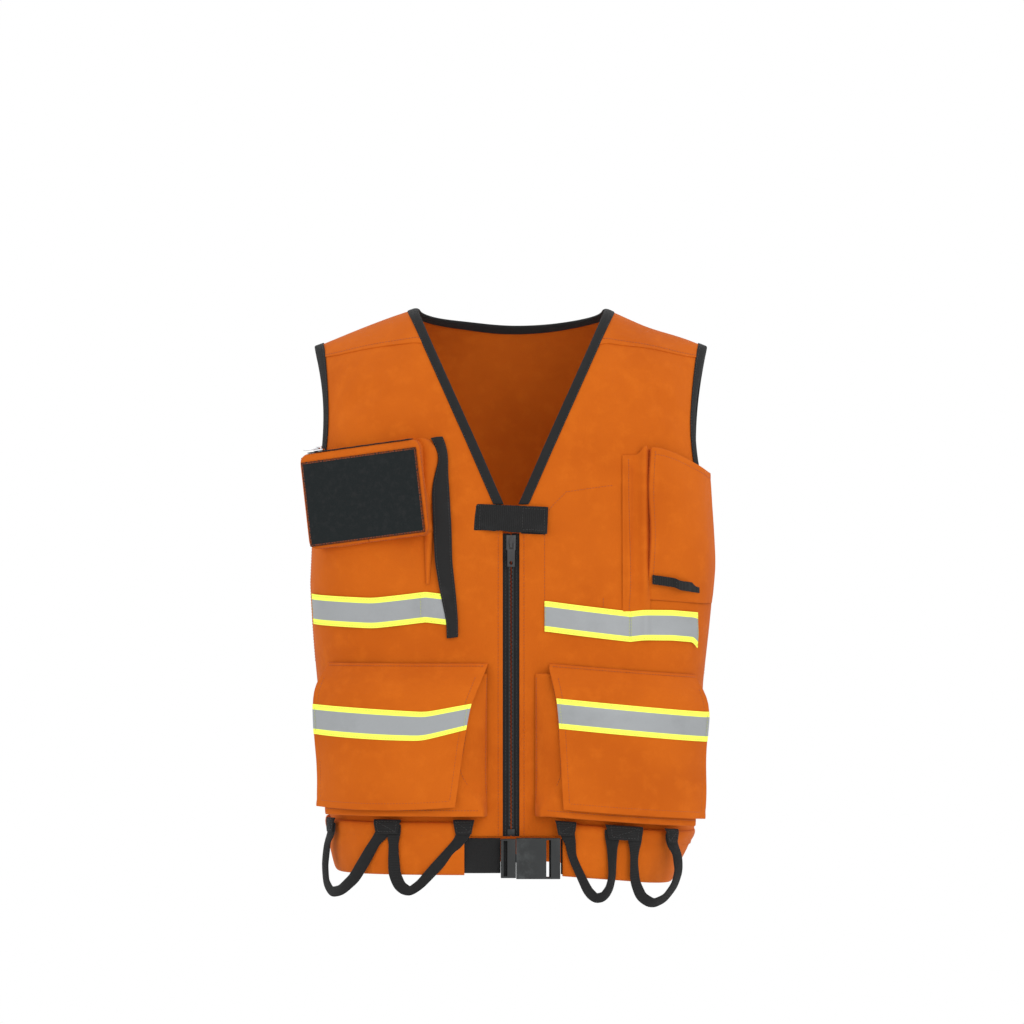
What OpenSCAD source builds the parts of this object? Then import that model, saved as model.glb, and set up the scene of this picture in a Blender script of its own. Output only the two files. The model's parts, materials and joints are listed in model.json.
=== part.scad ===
// Blaze orange work vest with pockets, reflective tape, belt and tool loops.
// +X is the wearer's left, -Y the front, +Z up. The origin is midway between the neck points.

/* [Body] */
// Full width at the chest
chest_w = 432; // [360:1:540]
// Full width at the lower edge of the belt casing
hem_w = 372; // [310:1:460]
// Half depth of the flat front
front_d = 118; // [100:1:142]
// Neck points to the lower edge of the belt casing
vest_h = 614; // [590:1:740]
// Width between the neck points
neck_w = 208; // [174:1:250]
// Depth of the front V
vee_drop = 214; // [190:1:240]
// How far the back neckline dips
back_neck_drop = 18; // [12:1:26]
// How far the shoulder tips hang below the neck points
shoulder_drop = 41; // [30:1:52]
// Height of the armholes
armhole_h = 199; // [166:1:239]
// How far the left side hangs lower than the right, at the hem
left_droop = 14; // [0:1:20]

/* [Cloth and trim] */
// Thickness of the shell cloth
cloth = 1.2; // [0.8:0.1:2]
// Width of the black bindings
binding_w = 9; // [6:0.5:13]
// Thickness of the black bindings
binding_t = 1.2; // [0.8:0.1:2]
// Gap between layers that are sewn together
lay_gap = 0.3; // [0.2:0.1:0.6]
// Height of the reflective tape
tape_h = 33; // [25:1:50]
// Thickness of the reflective tape
tape_t = 0.8; // [0.5:0.1:1.5]

/* [Main zip] */
// Visible width of the zip tape
zip_w = 18; // [14:1:26]
// Distance between two teeth
tooth_pitch = 4.2; // [3:0.1:6]
// Length of the slider
slider_l = 16; // [12:1:22]

/* [Closure tab] */
// Length of the tab
tab_l = 80; // [66:1:96]
// Height of the tab
tab_h = 29; // [22:1:36]
// Length of the tab's sewn end
tab_sewn = 8; // [6:1:14]

/* [Lower pockets] */
// Distance round the body from the middle of the front to a pocket
pocket_start = 26; // [20:1:40]
// Length of a pocket round the body
pocket_l = 176; // [146:1:212]
// Height of a pocket bag
pocket_h = 152; // [126:1:183]
// Depth of a pocket
pocket_depth = 20; // [14:1:28]
// Height of a flap below its sewn root
flap_h = 146; // [120:1:160]
// How far the flap tape lies below the flap's top edge
flap_tape_drop = 38; // [30:1:60]
// Height of the hook and loop strips
grip_h = 16; // [10:1:25]

/* [Chest] */
// Width of the right chest pocket
badge_w = 136; // [112:1:160]
// Height of the right chest pocket
badge_h = 92; // [76:1:110]
// Tilt of the right chest pocket
badge_tilt = 7; // [0:1:12]
// Turn of the right chest pocket towards the side
badge_turn = 22; // [16:1:28]
// Height of the left chest pocket
radio_h = 150; // [125:1:170]
// Depth of the left chest pocket
radio_depth = 11; // [8:1:16]
// Distance from the neck points down to the right chest tape
chest_tape_drop = 310; // [300:1:330]

/* [Belt and buckle] */
// Width of the belt webbing
belt_w = 38; // [30:1:50]
// Thickness of the belt webbing
belt_t = 2.2; // [1.5:0.1:3]
// Height of the belt casing
casing_h = 58; // [52:1:80]
// Height of the buckle
buckle_h = 44; // [44:1:56]
// Thickness of the buckle
buckle_t = 12; // [10:1:15]

/* [Tool loops] */
// Length that a loop hangs below its tacks
loop_drop = 88; // [72:1:105]
// Visible width of the loop strap
strap_w = 11; // [8:1:15]
// Thickness of the loop strap
strap_t = 4; // [3:0.5:6]

/* [Hidden] */

orange = [0.86, 0.42, 0.08];
black = [0.15, 0.15, 0.15];
loop_black = [0.13, 0.15, 0.15];
silver = [0.66, 0.67, 0.69];
metal = [0.75, 0.75, 0.76];

// ---- The body's surface ----
corner = 3.2;            // exponent of the rounded section
turn_step = 5;           // degrees between the columns of every layer
chest_z = -vee_drop;     // above this height the body closes towards the shoulders
tip_z = -shoulder_drop;
hem_z = -vest_h;
casing_top_z = hem_z + casing_h;
arm_share = 0.528;       // half height of the armhole's oval, as a share of its open height
arm_r = arm_share * armhole_h;
arm_c = tip_z - armhole_h + arm_r;
arm_turn = 19;           // degrees that the armhole reaches round from the side
top_round = 0.45;        // how squarely the shoulders close
width_rows = [[hem_z, hem_w / 2], [casing_top_z, hem_w / 2 + 13],
    [chest_z - 86, chest_w / 2 + 1], [chest_z, chest_w / 2]];
panel_z = hem_z + cloth + 1.5 + belt_w / 2 - 3 + buckle_h / 2 + 1.3; // just above the buckle
back_rows = [[hem_z, front_d - 10], [chest_z - 200, front_d - 14], [chest_z, front_d - 3]];

function mix(a, b, t) = a + (b - a) * t;
function half_d(turn, z) = cos(turn) > 0 ? front_d : lookup(z, back_rows);
function ring_pt(turn, z, off) = let (
    a = lookup(z, width_rows) + off,
    b = half_d(turn, z) + off,
    r = pow(pow(abs(cos(turn)) / b, corner) + pow(abs(sin(turn)) / a, corner), -1 / corner))
    [r * sin(turn), -r * cos(turn)];
function turn_at_x(x, z) = let (
    a = lookup(z, width_rows),
    y = front_d * pow(1 - pow(min(0.999, abs(x) / a), corner), 1 / corner))
    atan2(x, y);
tip_x = ring_pt(90 - arm_turn * sqrt(1 - pow((tip_z - arm_c) / arm_r, 2)), chest_z, 0)[0];
function shoulder_z(x) =
    -shoulder_drop * max(0, abs(x) - neck_w / 2) / (tip_x - neck_w / 2);
function rise(h) = max(0, min(1, (h - chest_z) / (tip_z - chest_z)));
function rise_h(s) = chest_z + (tip_z - chest_z) * s;
// The left side hangs lower, from below the chest down. The mirrored right sets $slack to 0.
$slack = 1;
function droop(x, h) = $slack * left_droop * max(0, min(1, (x - 40) / 170))
    * max(0, min(1, (-h - 230) / 80));
// A point of the layer that lies off outside the body, turned from the front, at height h.
function body_pt(turn, h, off) = let (
    low = min(h, chest_z),
    s = rise(h),
    p = ring_pt(turn, low, off))
    [p[0], p[1] * pow(1 - s * s, top_round),
        mix(low, shoulder_z(p[0]) + off, s) - droop(p[0], low)];
// Turn at a distance round the body from the middle of the front.
function arc_rows(z, off = 0, turn = 0, sum = 0) = turn > 120 ? [] : let (
    p = ring_pt(turn, z, off),
    q = ring_pt(turn + 2, z, off))
    concat([[sum, turn]], arc_rows(z, off, turn + 2, sum + norm(q - p)));
function turn_at(length, z) = lookup(length, arc_rows(z));
function cuts(a, b, step) = concat([a],
    [for (p = [ceil((a + step / 8) / step) * step : step : b - step / 8]) p], [b]);
break_rows = [hem_z, casing_top_z, chest_z - 200, chest_z - 100, chest_z - 86, -230, chest_z];
function heights(a, b) = concat([a],
    [for (z = break_rows) if (z > a + 1 && z < b - 1) z], [b]);

// A closed sheet over a grid: f gives the point at a column, a row and a layer.
module sheet(cols, rows, f, t0, t1) {
    nu = len(cols);
    nv = len(rows);
    pts = [for (k = [t0, t1]) for (v = rows) for (u = cols) f(u, v, k)];
    quads = concat(
        [for (j = [0 : nv - 2]) for (i = [0 : nu - 2])
            let (a = j * nu + i, b = a + nu, n = nu * nv) each [
                [n + a, n + b, n + b + 1, n + a + 1], [a, a + 1, b + 1, b]]],
        [for (i = [0 : nu - 2]) let (n = nu * nv, t = nu * (nv - 1) + i) each [
            [n + i, n + i + 1, i + 1, i], [n + t + 1, n + t, t, t + 1]]],
        [for (j = [0 : nv - 2]) let (n = nu * nv, a = j * nu, c = a + nu - 1) each [
            [n + a + nu, n + a, a, a + nu], [n + c, n + c + nu, c + nu, c]]]);
    polyhedron(pts, [for (q = quads) each [[q[0], q[1], q[2]], [q[0], q[2], q[3]]]]);
}
// A layer wrapped on the body between two turns, two heights and two offsets.
module wrap(turn0, turn1, z0, z1, off0, off1) {
    sheet(cuts(turn0, turn1, turn_step), heights(z0, z1),
        function(turn, z, off) body_pt(turn, z, off), off0, off1);
}
// A band whose two edges run between turn0 and turn1 at heights given at each end.
module slanted(turn0, turn1, low0, low1, height, off0, off1) {
    sheet(cuts(turn0, turn1, turn_step), [0, height],
        function(turn, v, off) body_pt(turn,
            mix(low0, low1, (turn - turn0) / (turn1 - turn0)) + v, off), off0, off1);
}
// Everything for the wearer's right is the mirrored left.
module right() {
    $slack = 0;
    mirror([1, 0, 0]) children();
}

// ---- Shell ----
zip_edge = zip_w / 2;
seam_in = 0.823;         // rise of the yoke seam at the neck
seam_out = 0.937;        // rise of the yoke seam at the armhole
function vee_x(s) = mix(zip_edge, neck_w / 2, s);
function front_in(h) = turn_at_x(vee_x(rise(h)), min(h, chest_z));
function arm_out(h) = 90 - arm_turn * sqrt(max(0, 1 - pow((h - arm_c) / arm_r, 2)));
arm_rows = [for (e = [0 : 7.5 : 90]) arm_c - arm_r * cos(e)];
side_rows = concat([panel_z], [for (z = break_rows) if (z > panel_z + 1 && z < arm_rows[0] - 1) z]);
panel_rows = concat(side_rows, arm_rows, [for (t = [0.15 : 0.17 : 1]) mix(arm_c, tip_z, t)]);
function row_h(r, top) = r <= arm_c ? r : mix(arm_c, top, (r - arm_c) / (tip_z - arm_c));
function seam_h(w) = rise_h(mix(seam_in, seam_out, w));

module front_panel_left() {
    start = turn_at_x(zip_edge, chest_z);
    cols = [for (p = cuts(start, 90, turn_step)) (p - start) / (90 - start)];
    color(orange) sheet(cols, panel_rows, function(w, r, off) body_pt(
        mix(front_in(row_h(r, seam_h(0))), arm_out(row_h(r, seam_h(1))), w),
        row_h(r, seam_h(w)), off), 0, cloth);
}
module front_panel_right() {
    right() front_panel_left();
}
yoke_steps = [0, 0.15, 0.3, 0.45, 0.6, 0.75, 0.87, 0.95, 1];
seam_gap = 0.002;
module shoulder_yoke_left() {
    cols = [for (i = [0 : 12]) i / 12];
    color(orange) sheet(cols, yoke_steps, function(w, t, off) let (
        s = sin(mix(asin(mix(seam_in, seam_out, w) + seam_gap), 90, t)),
        h = rise_h(s))
        body_pt(mix(front_in(h), arm_out(h), w), h, off), 0, cloth);
}
module shoulder_yoke_right() {
    right() shoulder_yoke_left();
}
function back_top(x) = abs(x) >= neck_w / 2 ? 1
    : 1 - back_neck_drop / vee_drop * sqrt(1 - pow(x / (neck_w / 2), 2));
function back_turn(w, h) = mix(180 - arm_out(h), 180 + arm_out(h), w);
module back_panel() {
    side = 180 - arm_out(tip_z);
    w_neck = (180 - turn_at_x(neck_w / 2, chest_z) - side) / (360 - 2 * side);
    half = cuts(0, w_neck, 1 / 36);
    mid = cuts(w_neck, 1 - w_neck, 1 / 36);
    cols = concat(half, [for (i = [1 : len(mid) - 2]) mid[i]], [for (i = [len(half) - 1 : -1 : 0])
        1 - half[i]]);
    rows = concat(side_rows, arm_rows, [for (e = [7.5, 15, 22.5, 30,
        37.5, 45, 52, 59, 66, 72, 78, 83, 87, 90]) mix(arm_c, tip_z, sin(e))]);
    color(orange) sheet(cols, rows, function(w, r, off) let (
        top = rise_h(back_top(ring_pt(back_turn(w, tip_z), chest_z, 0)[0])),
        flat = r <= arm_c ? r : mix(arm_c, tip_z, (r - arm_c) / (tip_z - arm_c)))
        body_pt(back_turn(w, flat), row_h(r, top), off), 0, cloth);
}

// ---- Bindings ----
bind_gap = lay_gap + 0.5;  // room for the steps of the layers below
bind0 = cloth + bind_gap;
bind1 = bind0 + binding_t;
module neck_binding() {
    lean = binding_w * 1.1;
    function vee_pt(w, s, off) =
        body_pt(turn_at_x(vee_x(s) + lean * w, chest_z), rise_h(s), off);
    function nape_pt(w, e, off) = let (
        x = (neck_w / 2 + lean * w) * cos(e),
        s = 1 - (back_neck_drop + binding_w * 0.7 * w) / vee_drop * sin(e))
        body_pt(180 - turn_at_x(x, chest_z), rise_h(s), off);
    steps = concat([for (s = [0 : 0.06 : seam_in - 0.02]) s], [for (t = yoke_steps)
        sin(mix(asin(seam_in + seam_gap), 90, t))]);
    color(black) {
        sheet([0, 1], steps, function(w, s, off) vee_pt(w, s, off), bind0, bind1);
        right() sheet([0, 1], steps, function(w, s, off) vee_pt(w, s, off), bind0, bind1);
        sheet([0, 1], cuts(0, 180, 6), function(w, e, off) nape_pt(w, e, off), bind0, bind1);
    }
}
top_steps = [0, 0.3, 1, 2, 3.5];   // the binding turns fastest at the shoulder's top
tip_room = 0.5;                    // how much further off the cloth it lies there
module armhole_strip(off0, off1) {
    lift = asin((tip_z - arm_c) / arm_r);
    ends = concat([for (e = top_steps) e - lift], cuts(top_steps[4] + 2 - lift,
        178 - top_steps[4] + lift, 6), [for (i = [4 : -1 : 0]) 180 + lift - top_steps[i]]);
    sheet([0, 0.25, 0.5, 0.75, 1], ends, function(w, e, off) let (
        top = pow(max(0, -sin(e)), 3),
        spread = 2.5 * abs(cos(e)) + 10 * top,
        turn = 90 - (arm_turn * abs(cos(e)) + spread * w) * sign(cos(e)),
        h = arm_c - (arm_r + (binding_w - 1) * w) * sin(e))
        body_pt(turn, min(tip_z, h), off + tip_room * top), off0, off1);
}
module armhole_binding_left() {
    color(black) armhole_strip(bind0, bind1);
}
module armhole_binding_right() {
    right() armhole_binding_left();
}

// ---- Main zip ----
chain_gap = 0.6;         // half of the clear channel that the slider's web runs in
chain_w = 2.6;           // half width of the chain
tape_hide = 6;           // how far the tape runs under the cloth
zip_tape_t = 1;
zip_top = chest_z - 31;
zip_low = panel_z;
tape_y = -front_d + lay_gap;
module zip_tape_left() {
    color(black) translate([chain_w - 1, tape_y, zip_low])
        cube([zip_edge + tape_hide - chain_w + 1, zip_tape_t, zip_top - zip_low]);
}
module zip_tape_right() {
    right() zip_tape_left();
}
teeth_y = tape_y - lay_gap;
teeth_t = 1.4;
teeth_low = zip_low + 9;
teeth_n = floor((zip_top - 3 - teeth_low) / tooth_pitch);
module teeth_row(shift) {
    points = [for (i = [0 : teeth_n - 1]) let (z = teeth_low + shift + i * tooth_pitch) each [
        [chain_w - 0.9, z], [chain_gap, z + 0.2], [chain_gap, z + tooth_pitch * 0.5],
        [chain_w - 0.9, z + tooth_pitch * 0.5 + 0.2]]];
    last = teeth_low + shift + (teeth_n - 1) * tooth_pitch + tooth_pitch * 0.5 + 0.2;
    color(black) translate([0, teeth_y, 0]) rotate([90, 0, 0])
        linear_extrude(teeth_t) polygon(concat(points,
            [[chain_w, last], [chain_w, teeth_low + shift]]));
}
module zip_teeth_left() {
    teeth_row(0);
}
module zip_teeth_right() {
    right() teeth_row(tooth_pitch / 2);
}
slider_w = 10;
slider_plate = 1.6;
slider_z = zip_top - slider_l - 2;
slider_front = teeth_y - teeth_t - lay_gap - 0.1;
slider_back = tape_y + zip_tape_t + lay_gap;
module zip_slider() {
    web = 2 * (chain_gap - 0.3);
    color(silver) {
        translate([-slider_w / 2, slider_front - slider_plate, slider_z])
            cube([slider_w, slider_plate, slider_l]);
        translate([-slider_w / 2, slider_back, slider_z])
            cube([slider_w, slider_plate, slider_l]);
        translate([-web / 2, slider_front - 0.5, slider_z + slider_l - 5])
            cube([web, slider_back - slider_front + 1, 5]);
        // The bridge that carries the pull
        translate([-1.5, slider_front - slider_plate - 4, slider_z + 3])
            difference() {
                cube([3, 4.5, 10]);
                translate([-1, 1.4, 2]) cube([5, 2.4, 6]);
            }
    }
}
pull_pin_z = slider_z + 6;
pull_pin_y = slider_front - slider_plate - 1.4;
module zip_pull() {
    color(metal) difference() {
        union() {
            translate([-4, pull_pin_y - 0.8, pull_pin_z - 24]) cube([8, 1.6, 19]);
            translate([-4, pull_pin_y - 0.8, pull_pin_z - 6]) cube([1.8, 1.6, 7]);
            translate([2.2, pull_pin_y - 0.8, pull_pin_z - 6]) cube([1.8, 1.6, 7]);
            translate([-4, pull_pin_y, pull_pin_z]) rotate([0, 90, 0])
                cylinder(r = 0.8, h = 8, $fn = 32);
        }
        translate([0, pull_pin_y + 5, pull_pin_z - 20]) rotate([90, 0, 0])
            cylinder(r = 2, h = 10, $fn = 32);
    }
}
module zip_stops() {
    color(black) translate([-4, teeth_y - teeth_t - 0.3, zip_low + 1])
        cube([8, teeth_t + 0.3, 7]);
}

// ---- Closure tab ----
tab_x = -41;
tab_tilt = 2.5;
tab_z = chest_z + 1;
patch_t = 1;
tab_t = 1.4;
patch_l = 26;
patch_y = -front_d - cloth - lay_gap;
hook_y = patch_y - patch_t - lay_gap;
tab_y = hook_y - patch_t;
module tab_frame() {
    translate([tab_x, 0, tab_z - tab_h]) rotate([0, tab_tilt, 0]) children();
}
module closure_tab_base() {
    color(black) tab_frame() translate([0, tab_y - tab_t, 0])
        cube([tab_sewn - 0.3, patch_y - tab_y + tab_t, tab_h]);
}
module closure_tab() {
    color(black) tab_frame() translate([tab_sewn, tab_y - tab_t, 0])
        cube([tab_l - tab_sewn, tab_t, tab_h]);
}
module closure_hook_patch() {
    color(black) tab_frame() translate([tab_l - patch_l - 2, tab_y, 2])
        cube([patch_l, patch_t, tab_h - 4]);
}
module closure_loop_patch() {
    color(black) tab_frame() translate([tab_l - patch_l - 2, patch_y - patch_t, -1])
        cube([patch_l, patch_t, tab_h - 8]);
}

// ---- Lower pockets ----
wall = 1.5;
bag_z = casing_top_z + 2;
bag_top = bag_z + pocket_h;
bag_off = bind0 + pocket_depth;
grip_t = 1;
loop_off = bag_off + lay_gap;
hook_off = loop_off + grip_t + lay_gap;
flap_off = hook_off + grip_t + lay_gap + 0.2;
flap_t = 1.5;
flap_top = bag_top + 8;
turn_a = turn_at(pocket_start, -400);
turn_b = turn_at(pocket_start + pocket_l, -400);
module lower_pocket_left() {
    color(orange) difference() {
        wrap(turn_a, turn_b, bag_z, bag_top, bind0, bag_off);
        wrap(turn_a + 0.6, turn_b - 0.4, bag_z + wall, bag_top + 5, bind0 - 2, bag_off - wall);
    }
}
module lower_pocket_right() {
    right() lower_pocket_left();
}
flap_a = turn_a + 2;
flap_b = turn_b + 0.5;
module lower_flap_root_left() {
    color(orange) sheet(cuts(flap_a, flap_b, turn_step), [0, 1], function(turn, v, t)
        body_pt(turn, mix(flap_top + 0.5, flap_top + 7, v) + t,
            mix(flap_off + flap_t, bind0, v)), 0, flap_t);
}
module lower_flap_root_right() {
    right() lower_flap_root_left();
}
module lower_flap_left() {
    color(orange) wrap(flap_a, flap_b, flap_top - flap_h, flap_top, flap_off, flap_off + flap_t);
}
module lower_flap_right() {
    right() lower_flap_left();
}
flap_tape_off = flap_off + flap_t + lay_gap;
module flap_tape(top) {
    color(silver) wrap(flap_a + 0.3, flap_b - 0.3, top - tape_h, top,
        flap_tape_off, flap_tape_off + tape_t);
}
module lower_flap_tape_left() {
    flap_tape(flap_top - flap_tape_drop + left_droop * 0.7);
}
module lower_flap_tape_right() {
    right() flap_tape(flap_top - flap_tape_drop);
}
grip_z = flap_top - flap_h + 6;
module grip_strip(off) {
    color(loop_black) for (mid = [mix(turn_a, turn_b, 0.22), mix(turn_a, turn_b, 0.75)])
        wrap(mid - 6, mid + 6, grip_z, grip_z + grip_h, off, off + grip_t);
}
module lower_flap_hook_left() {
    grip_strip(hook_off);
}
module lower_flap_hook_right() {
    right() grip_strip(hook_off);
}
module lower_pocket_loop_left() {
    grip_strip(loop_off);
}
module lower_pocket_loop_right() {
    right() grip_strip(loop_off);
}

// ---- Right chest ----
badge_x = -(chest_w / 2 - 56.5);
badge_z = -206;
badge_y = -front_d + 2;
panel_t = 1.6;
chest_wall = 1.5;
module badge_frame() {
    translate([badge_x, badge_y, badge_z]) rotate([0, -badge_tilt, -badge_turn]) children();
}
module body_block(off) {
    deep = -100;
    sheet(cuts(-120, 5, turn_step), concat([chest_z - 120, chest_z - 86],
        [for (i = [0 : 8]) mix(chest_z, -80, i / 8)]),
        function(turn, h, o) body_pt(turn, h, o), deep, off);
}
zip_slot = 5;
zip_l = badge_w - 26;
module chest_pocket_right() {
    color(orange) difference() {
        badge_frame() difference() {
            translate([-badge_w / 2 - 3, 0, -badge_h / 2 - 3]) cube([badge_w + 6, 62, badge_h + 12]);
            translate([-badge_w / 2 - 3 + chest_wall, chest_wall, -badge_h / 2 - 3 + chest_wall])
                cube([badge_w + 6 - 2 * chest_wall, 70, badge_h + 12 - 2 * chest_wall]);
            translate([-zip_l / 2, 4, badge_h / 2]) cube([zip_l, zip_slot, 20]);
        }
        body_block(bind0);
        right() armhole_strip(-2, bind1 + lay_gap);
    }
}
module chest_loop_panel() {
    color(loop_black) badge_frame() translate([-badge_w / 2, -panel_t, -badge_h / 2])
        cube([badge_w, panel_t, badge_h]);
}
chest_zip_z = badge_h / 2 + 9;
chest_zip_mid = 4 + zip_slot / 2;
module chest_zip_tape() {
    color(black) badge_frame() difference() {
        translate([-zip_l / 2 - 6, 0.5, chest_zip_z]) cube([zip_l + 12, 12, 1.2]);
        translate([-zip_l / 2, chest_zip_mid - 0.8, chest_zip_z - 1]) cube([zip_l, 1.6, 4]);
    }
}
chest_slider_x = -zip_l / 2 + 1;
chest_slider_l = 11;
module chest_zip_slider() {
    color(metal) badge_frame() {
        translate([chest_slider_x, chest_zip_mid - 3, chest_zip_z + 1.5])
            cube([chest_slider_l, 6, 1.8]);
        translate([chest_slider_x, chest_zip_mid - 0.5, chest_zip_z - 0.3])
            cube([4, 1, 2.2]);
        translate([chest_slider_x + 2, chest_zip_mid - 1, chest_zip_z + 3])
            difference() {
                cube([7, 2, 3.6]);
                translate([1.5, -1, 0.3]) cube([4, 4, 2]);
            }
    }
}
chest_pin_x = chest_slider_x + 5.5;
chest_pin_z = chest_zip_z + 4.3;
module chest_zip_pull() {
    color(metal) badge_frame() translate([chest_pin_x, chest_zip_mid, chest_pin_z]) {
        rotate([90, 0, 0]) translate([0, 0, -3.5]) cylinder(r = 0.7, h = 7, $fn = 32);
        for (y = [-3.5, 1.9]) translate([-6, y, -0.7]) cube([6.4, 1.6, 1.4]);
        translate([-17, -3.5, -0.7]) cube([12, 7, 1.4]);
    }
}
gusset_t = 3;
gusset_top = -140;
gusset_low = -256;
placket_top = -141;
placket_low = -356;
strip_cols = [0, 0.5, 1];
strip_rows = [for (i = [0 : 14]) i / 14];
badge_edge = -badge_x - badge_w / 2 * cos(badge_turn);  // the pocket's edge nearest the zip
module chest_gusset_right() {
    color(orange) right() sheet(strip_cols, strip_rows, function(w, v, off)
        body_pt(turn_at_x(badge_edge + mix(mix(-23.5, -25, v), mix(-20, -19.5, v), w), chest_z),
            mix(gusset_low, gusset_top, v), off + 2 * sin(180 * w) * sin(180 * v * 0.7)),
        bind0, bind0 + gusset_t);
}
placket_inner = [[0, -39], [0.12, -39], [0.3, -37], [0.55, -30], [1, -29]];
placket_outer = [[0, -24], [0.12, -29], [0.3, -26], [0.357, -12], [0.4286, -26],
    [1, -26.5]];
module chest_placket() {
    color(black) right() sheet(strip_cols, strip_rows, function(w, v, off)
        body_pt(turn_at_x(badge_edge + mix(lookup(v, placket_inner), lookup(v, placket_outer), w),
            chest_z), mix(placket_low, placket_top, v), off), bind0, bind0 + 1.6);
}
tape_off = cloth + bind_gap;
chest_tape_z = -chest_tape_drop - tape_h;
tape_start_right = 88;
tape_end_right = 78;     // degrees
module chest_tape_right() {
    color(silver) right() slanted(turn_at_x(tape_start_right, chest_z), tape_end_right, chest_tape_z + 2, chest_tape_z,
        tape_h, tape_off, tape_off + tape_t);
}

// ---- Left chest ----
radio_top = -158;
radio_a = turn_at_x(chest_w / 2 - 66, chest_z);
radio_b = 77;
radio_off = bind0 + radio_depth;
module chest_pocket_left() {
    low = radio_top - radio_h;
    module bag(inset, off0, off1, lift0, lift1) {
        sheet(cuts(radio_a + inset, radio_b - inset * 0.6, turn_step),
            concat([low + lift0], [chest_z - 86], [chest_z, chest_z + 20, chest_z + 38,
                radio_top + lift1 - 1]),
            function(turn, h, off) body_pt(turn, h, off), off0, off1);
    }
    color(orange) difference() {
        bag(0, bind0, radio_off, 0, 0);
        bag(0.8, bind0 - 2, radio_off - wall, wall, 4);
        armhole_strip(-2, bind1 + lay_gap);
    }
}
module chest_gusset_left() {
    color(orange) sheet([0, 0.5, 1], [0, 0.25, 0.6, 0.85, 1], function(w, v, off)
        body_pt(mix(radio_a - 3.8, radio_a - 0.3, w), mix(radio_top - radio_h, radio_top + 4, v),
            off + (off > bind0 + 0.1 ? 3 * sin(180 * w) : 0)), bind0, bind0 + 2.5);
}
strap_z = -298;
module accessory_strap() {
    color(black) slanted(radio_a + 1, 72.5, strap_z + 4, strap_z, 9, radio_off + 0.3,
        radio_off + 2.3);
}
// Lower edge of the left tape at its start, its joint and its end
left_tape_z = [-351, -355, -350.5];
tape_start_left = 36;
tape_end_left = 72;      // degrees
module chest_tape_left() {
    color(silver) {
        slanted(turn_at_x(tape_start_left, chest_z), radio_a - 4.2, left_tape_z[0],
            left_tape_z[1], tape_h, tape_off, tape_off + tape_t);
        slanted(radio_a - 4, tape_end_left, left_tape_z[1], left_tape_z[2], tape_h,
            tape_off + 0.1, tape_off + 0.1 + tape_t);
    }
}
// The pocket on the inside of the left front
inner_pocket_x = [38, 126];
inner_pocket_z = [-330, -222];
module inner_pocket_left() {
    color(orange) wrap(turn_at_x(inner_pocket_x[0], chest_z),
        turn_at_x(inner_pocket_x[1], chest_z), inner_pocket_z[0], inner_pocket_z[1],
        -lay_gap - cloth, -lay_gap);
}
module back_tape() {
    color(silver) wrap(104, 256, chest_tape_z, chest_tape_z + tape_h, tape_off, tape_off + tape_t);
}

// ---- Belt, casing and buckle ----
casing_off0 = bind0;
belt_off = casing_off0 + cloth + 0.6;
casing_off1 = belt_off + belt_t + 0.6 + cloth;
belt_z = hem_z + cloth + 1.5;
casing_end_right = 50;
casing_end_left = 55;
module casing(turn0, turn1) {
    color(orange) difference() {
        wrap(turn0, turn1, hem_z, casing_top_z, casing_off0, casing_off1);
        wrap(turn0 - 1, turn1 + 1, hem_z + cloth, casing_top_z - cloth,
            casing_off0 + cloth, casing_off1 - cloth);
    }
}
module hem_casing_left() {
    casing(turn_at_x(casing_end_left, hem_z), 89.8);
}
module hem_casing_right() {
    right() casing(turn_at_x(casing_end_right, hem_z), 89.8);
}
module hem_casing_back() {
    casing(90.2, 269.8);
}
buckle_x0 = -11;
buckle_x1 = 53;
module belt_webbing() {
    start = turn_at_x(buckle_x1 + 0.3, hem_z);
    stop = 360 - turn_at_x(-buckle_x0 + 0.3, hem_z);
    color(black) wrap(start, stop, belt_z, belt_z + belt_w, belt_off, belt_off + belt_t);
}
plug_face = 5.2;
socket_x = 5.5;
socket_end = 36;
buckle_z = belt_z + belt_w / 2 - 3;
buckle_y = -front_d - belt_off + 3;
shell = 2;
module buckle_frame() {
    translate([0, buckle_y, buckle_z]) children();
}
module buckle_socket() {
    color(black) buckle_frame() difference() {
        translate([socket_x, -buckle_t, -buckle_h / 2])
            cube([buckle_x1 - socket_x, buckle_t, buckle_h]);
        translate([socket_x - 1, -buckle_t + shell, -buckle_h / 2 + 3])
            cube([socket_end - socket_x - 1, buckle_t - 2 * shell, buckle_h - 6]);
        for (side = [-1, 1]) translate([15, -buckle_t + shell, side * (buckle_h / 2 - 1) - 4])
            cube([17, buckle_t - 2 * shell, 8]);
        translate([socket_end + 2, -buckle_t - 1, -belt_w / 2 - 1]) cube([5, buckle_t + 2, belt_w + 2]);
    }
}
module buckle_plug() {
    color(black) buckle_frame() {
        difference() {
            translate([buckle_x0, -buckle_t + 1, -buckle_h / 2 + 1])
                cube([plug_face - buckle_x0, buckle_t - 2, buckle_h - 2]);
            translate([buckle_x0 + 3, -buckle_t, -belt_w / 2]) cube([4, buckle_t + 2, belt_w]);
        }
        translate([plug_face - 1, -buckle_t + shell + 1, -4]) cube([22, buckle_t - 2 * shell - 2, 8]);
    }
}
prong_in = 10;
prong_out = 16;
prong_tip = buckle_h / 2 - 1.5;
module prong() {
    color(black) buckle_frame() translate([0, -buckle_t / 2 + 3, 0]) rotate([90, 0, 0])
        linear_extrude(6) polygon([[plug_face + 0.4, prong_in], [29, prong_in], [31, prong_in + 4],
            [31, prong_out + 1], [24, prong_tip], [19, prong_tip], [18, prong_out],
            [plug_face + 0.4, prong_out]]);
}
module buckle_prong_upper() {
    prong();
}
module buckle_prong_lower() {
    translate([0, 0, 2 * buckle_z]) mirror([0, 0, 1]) prong();
}

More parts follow.
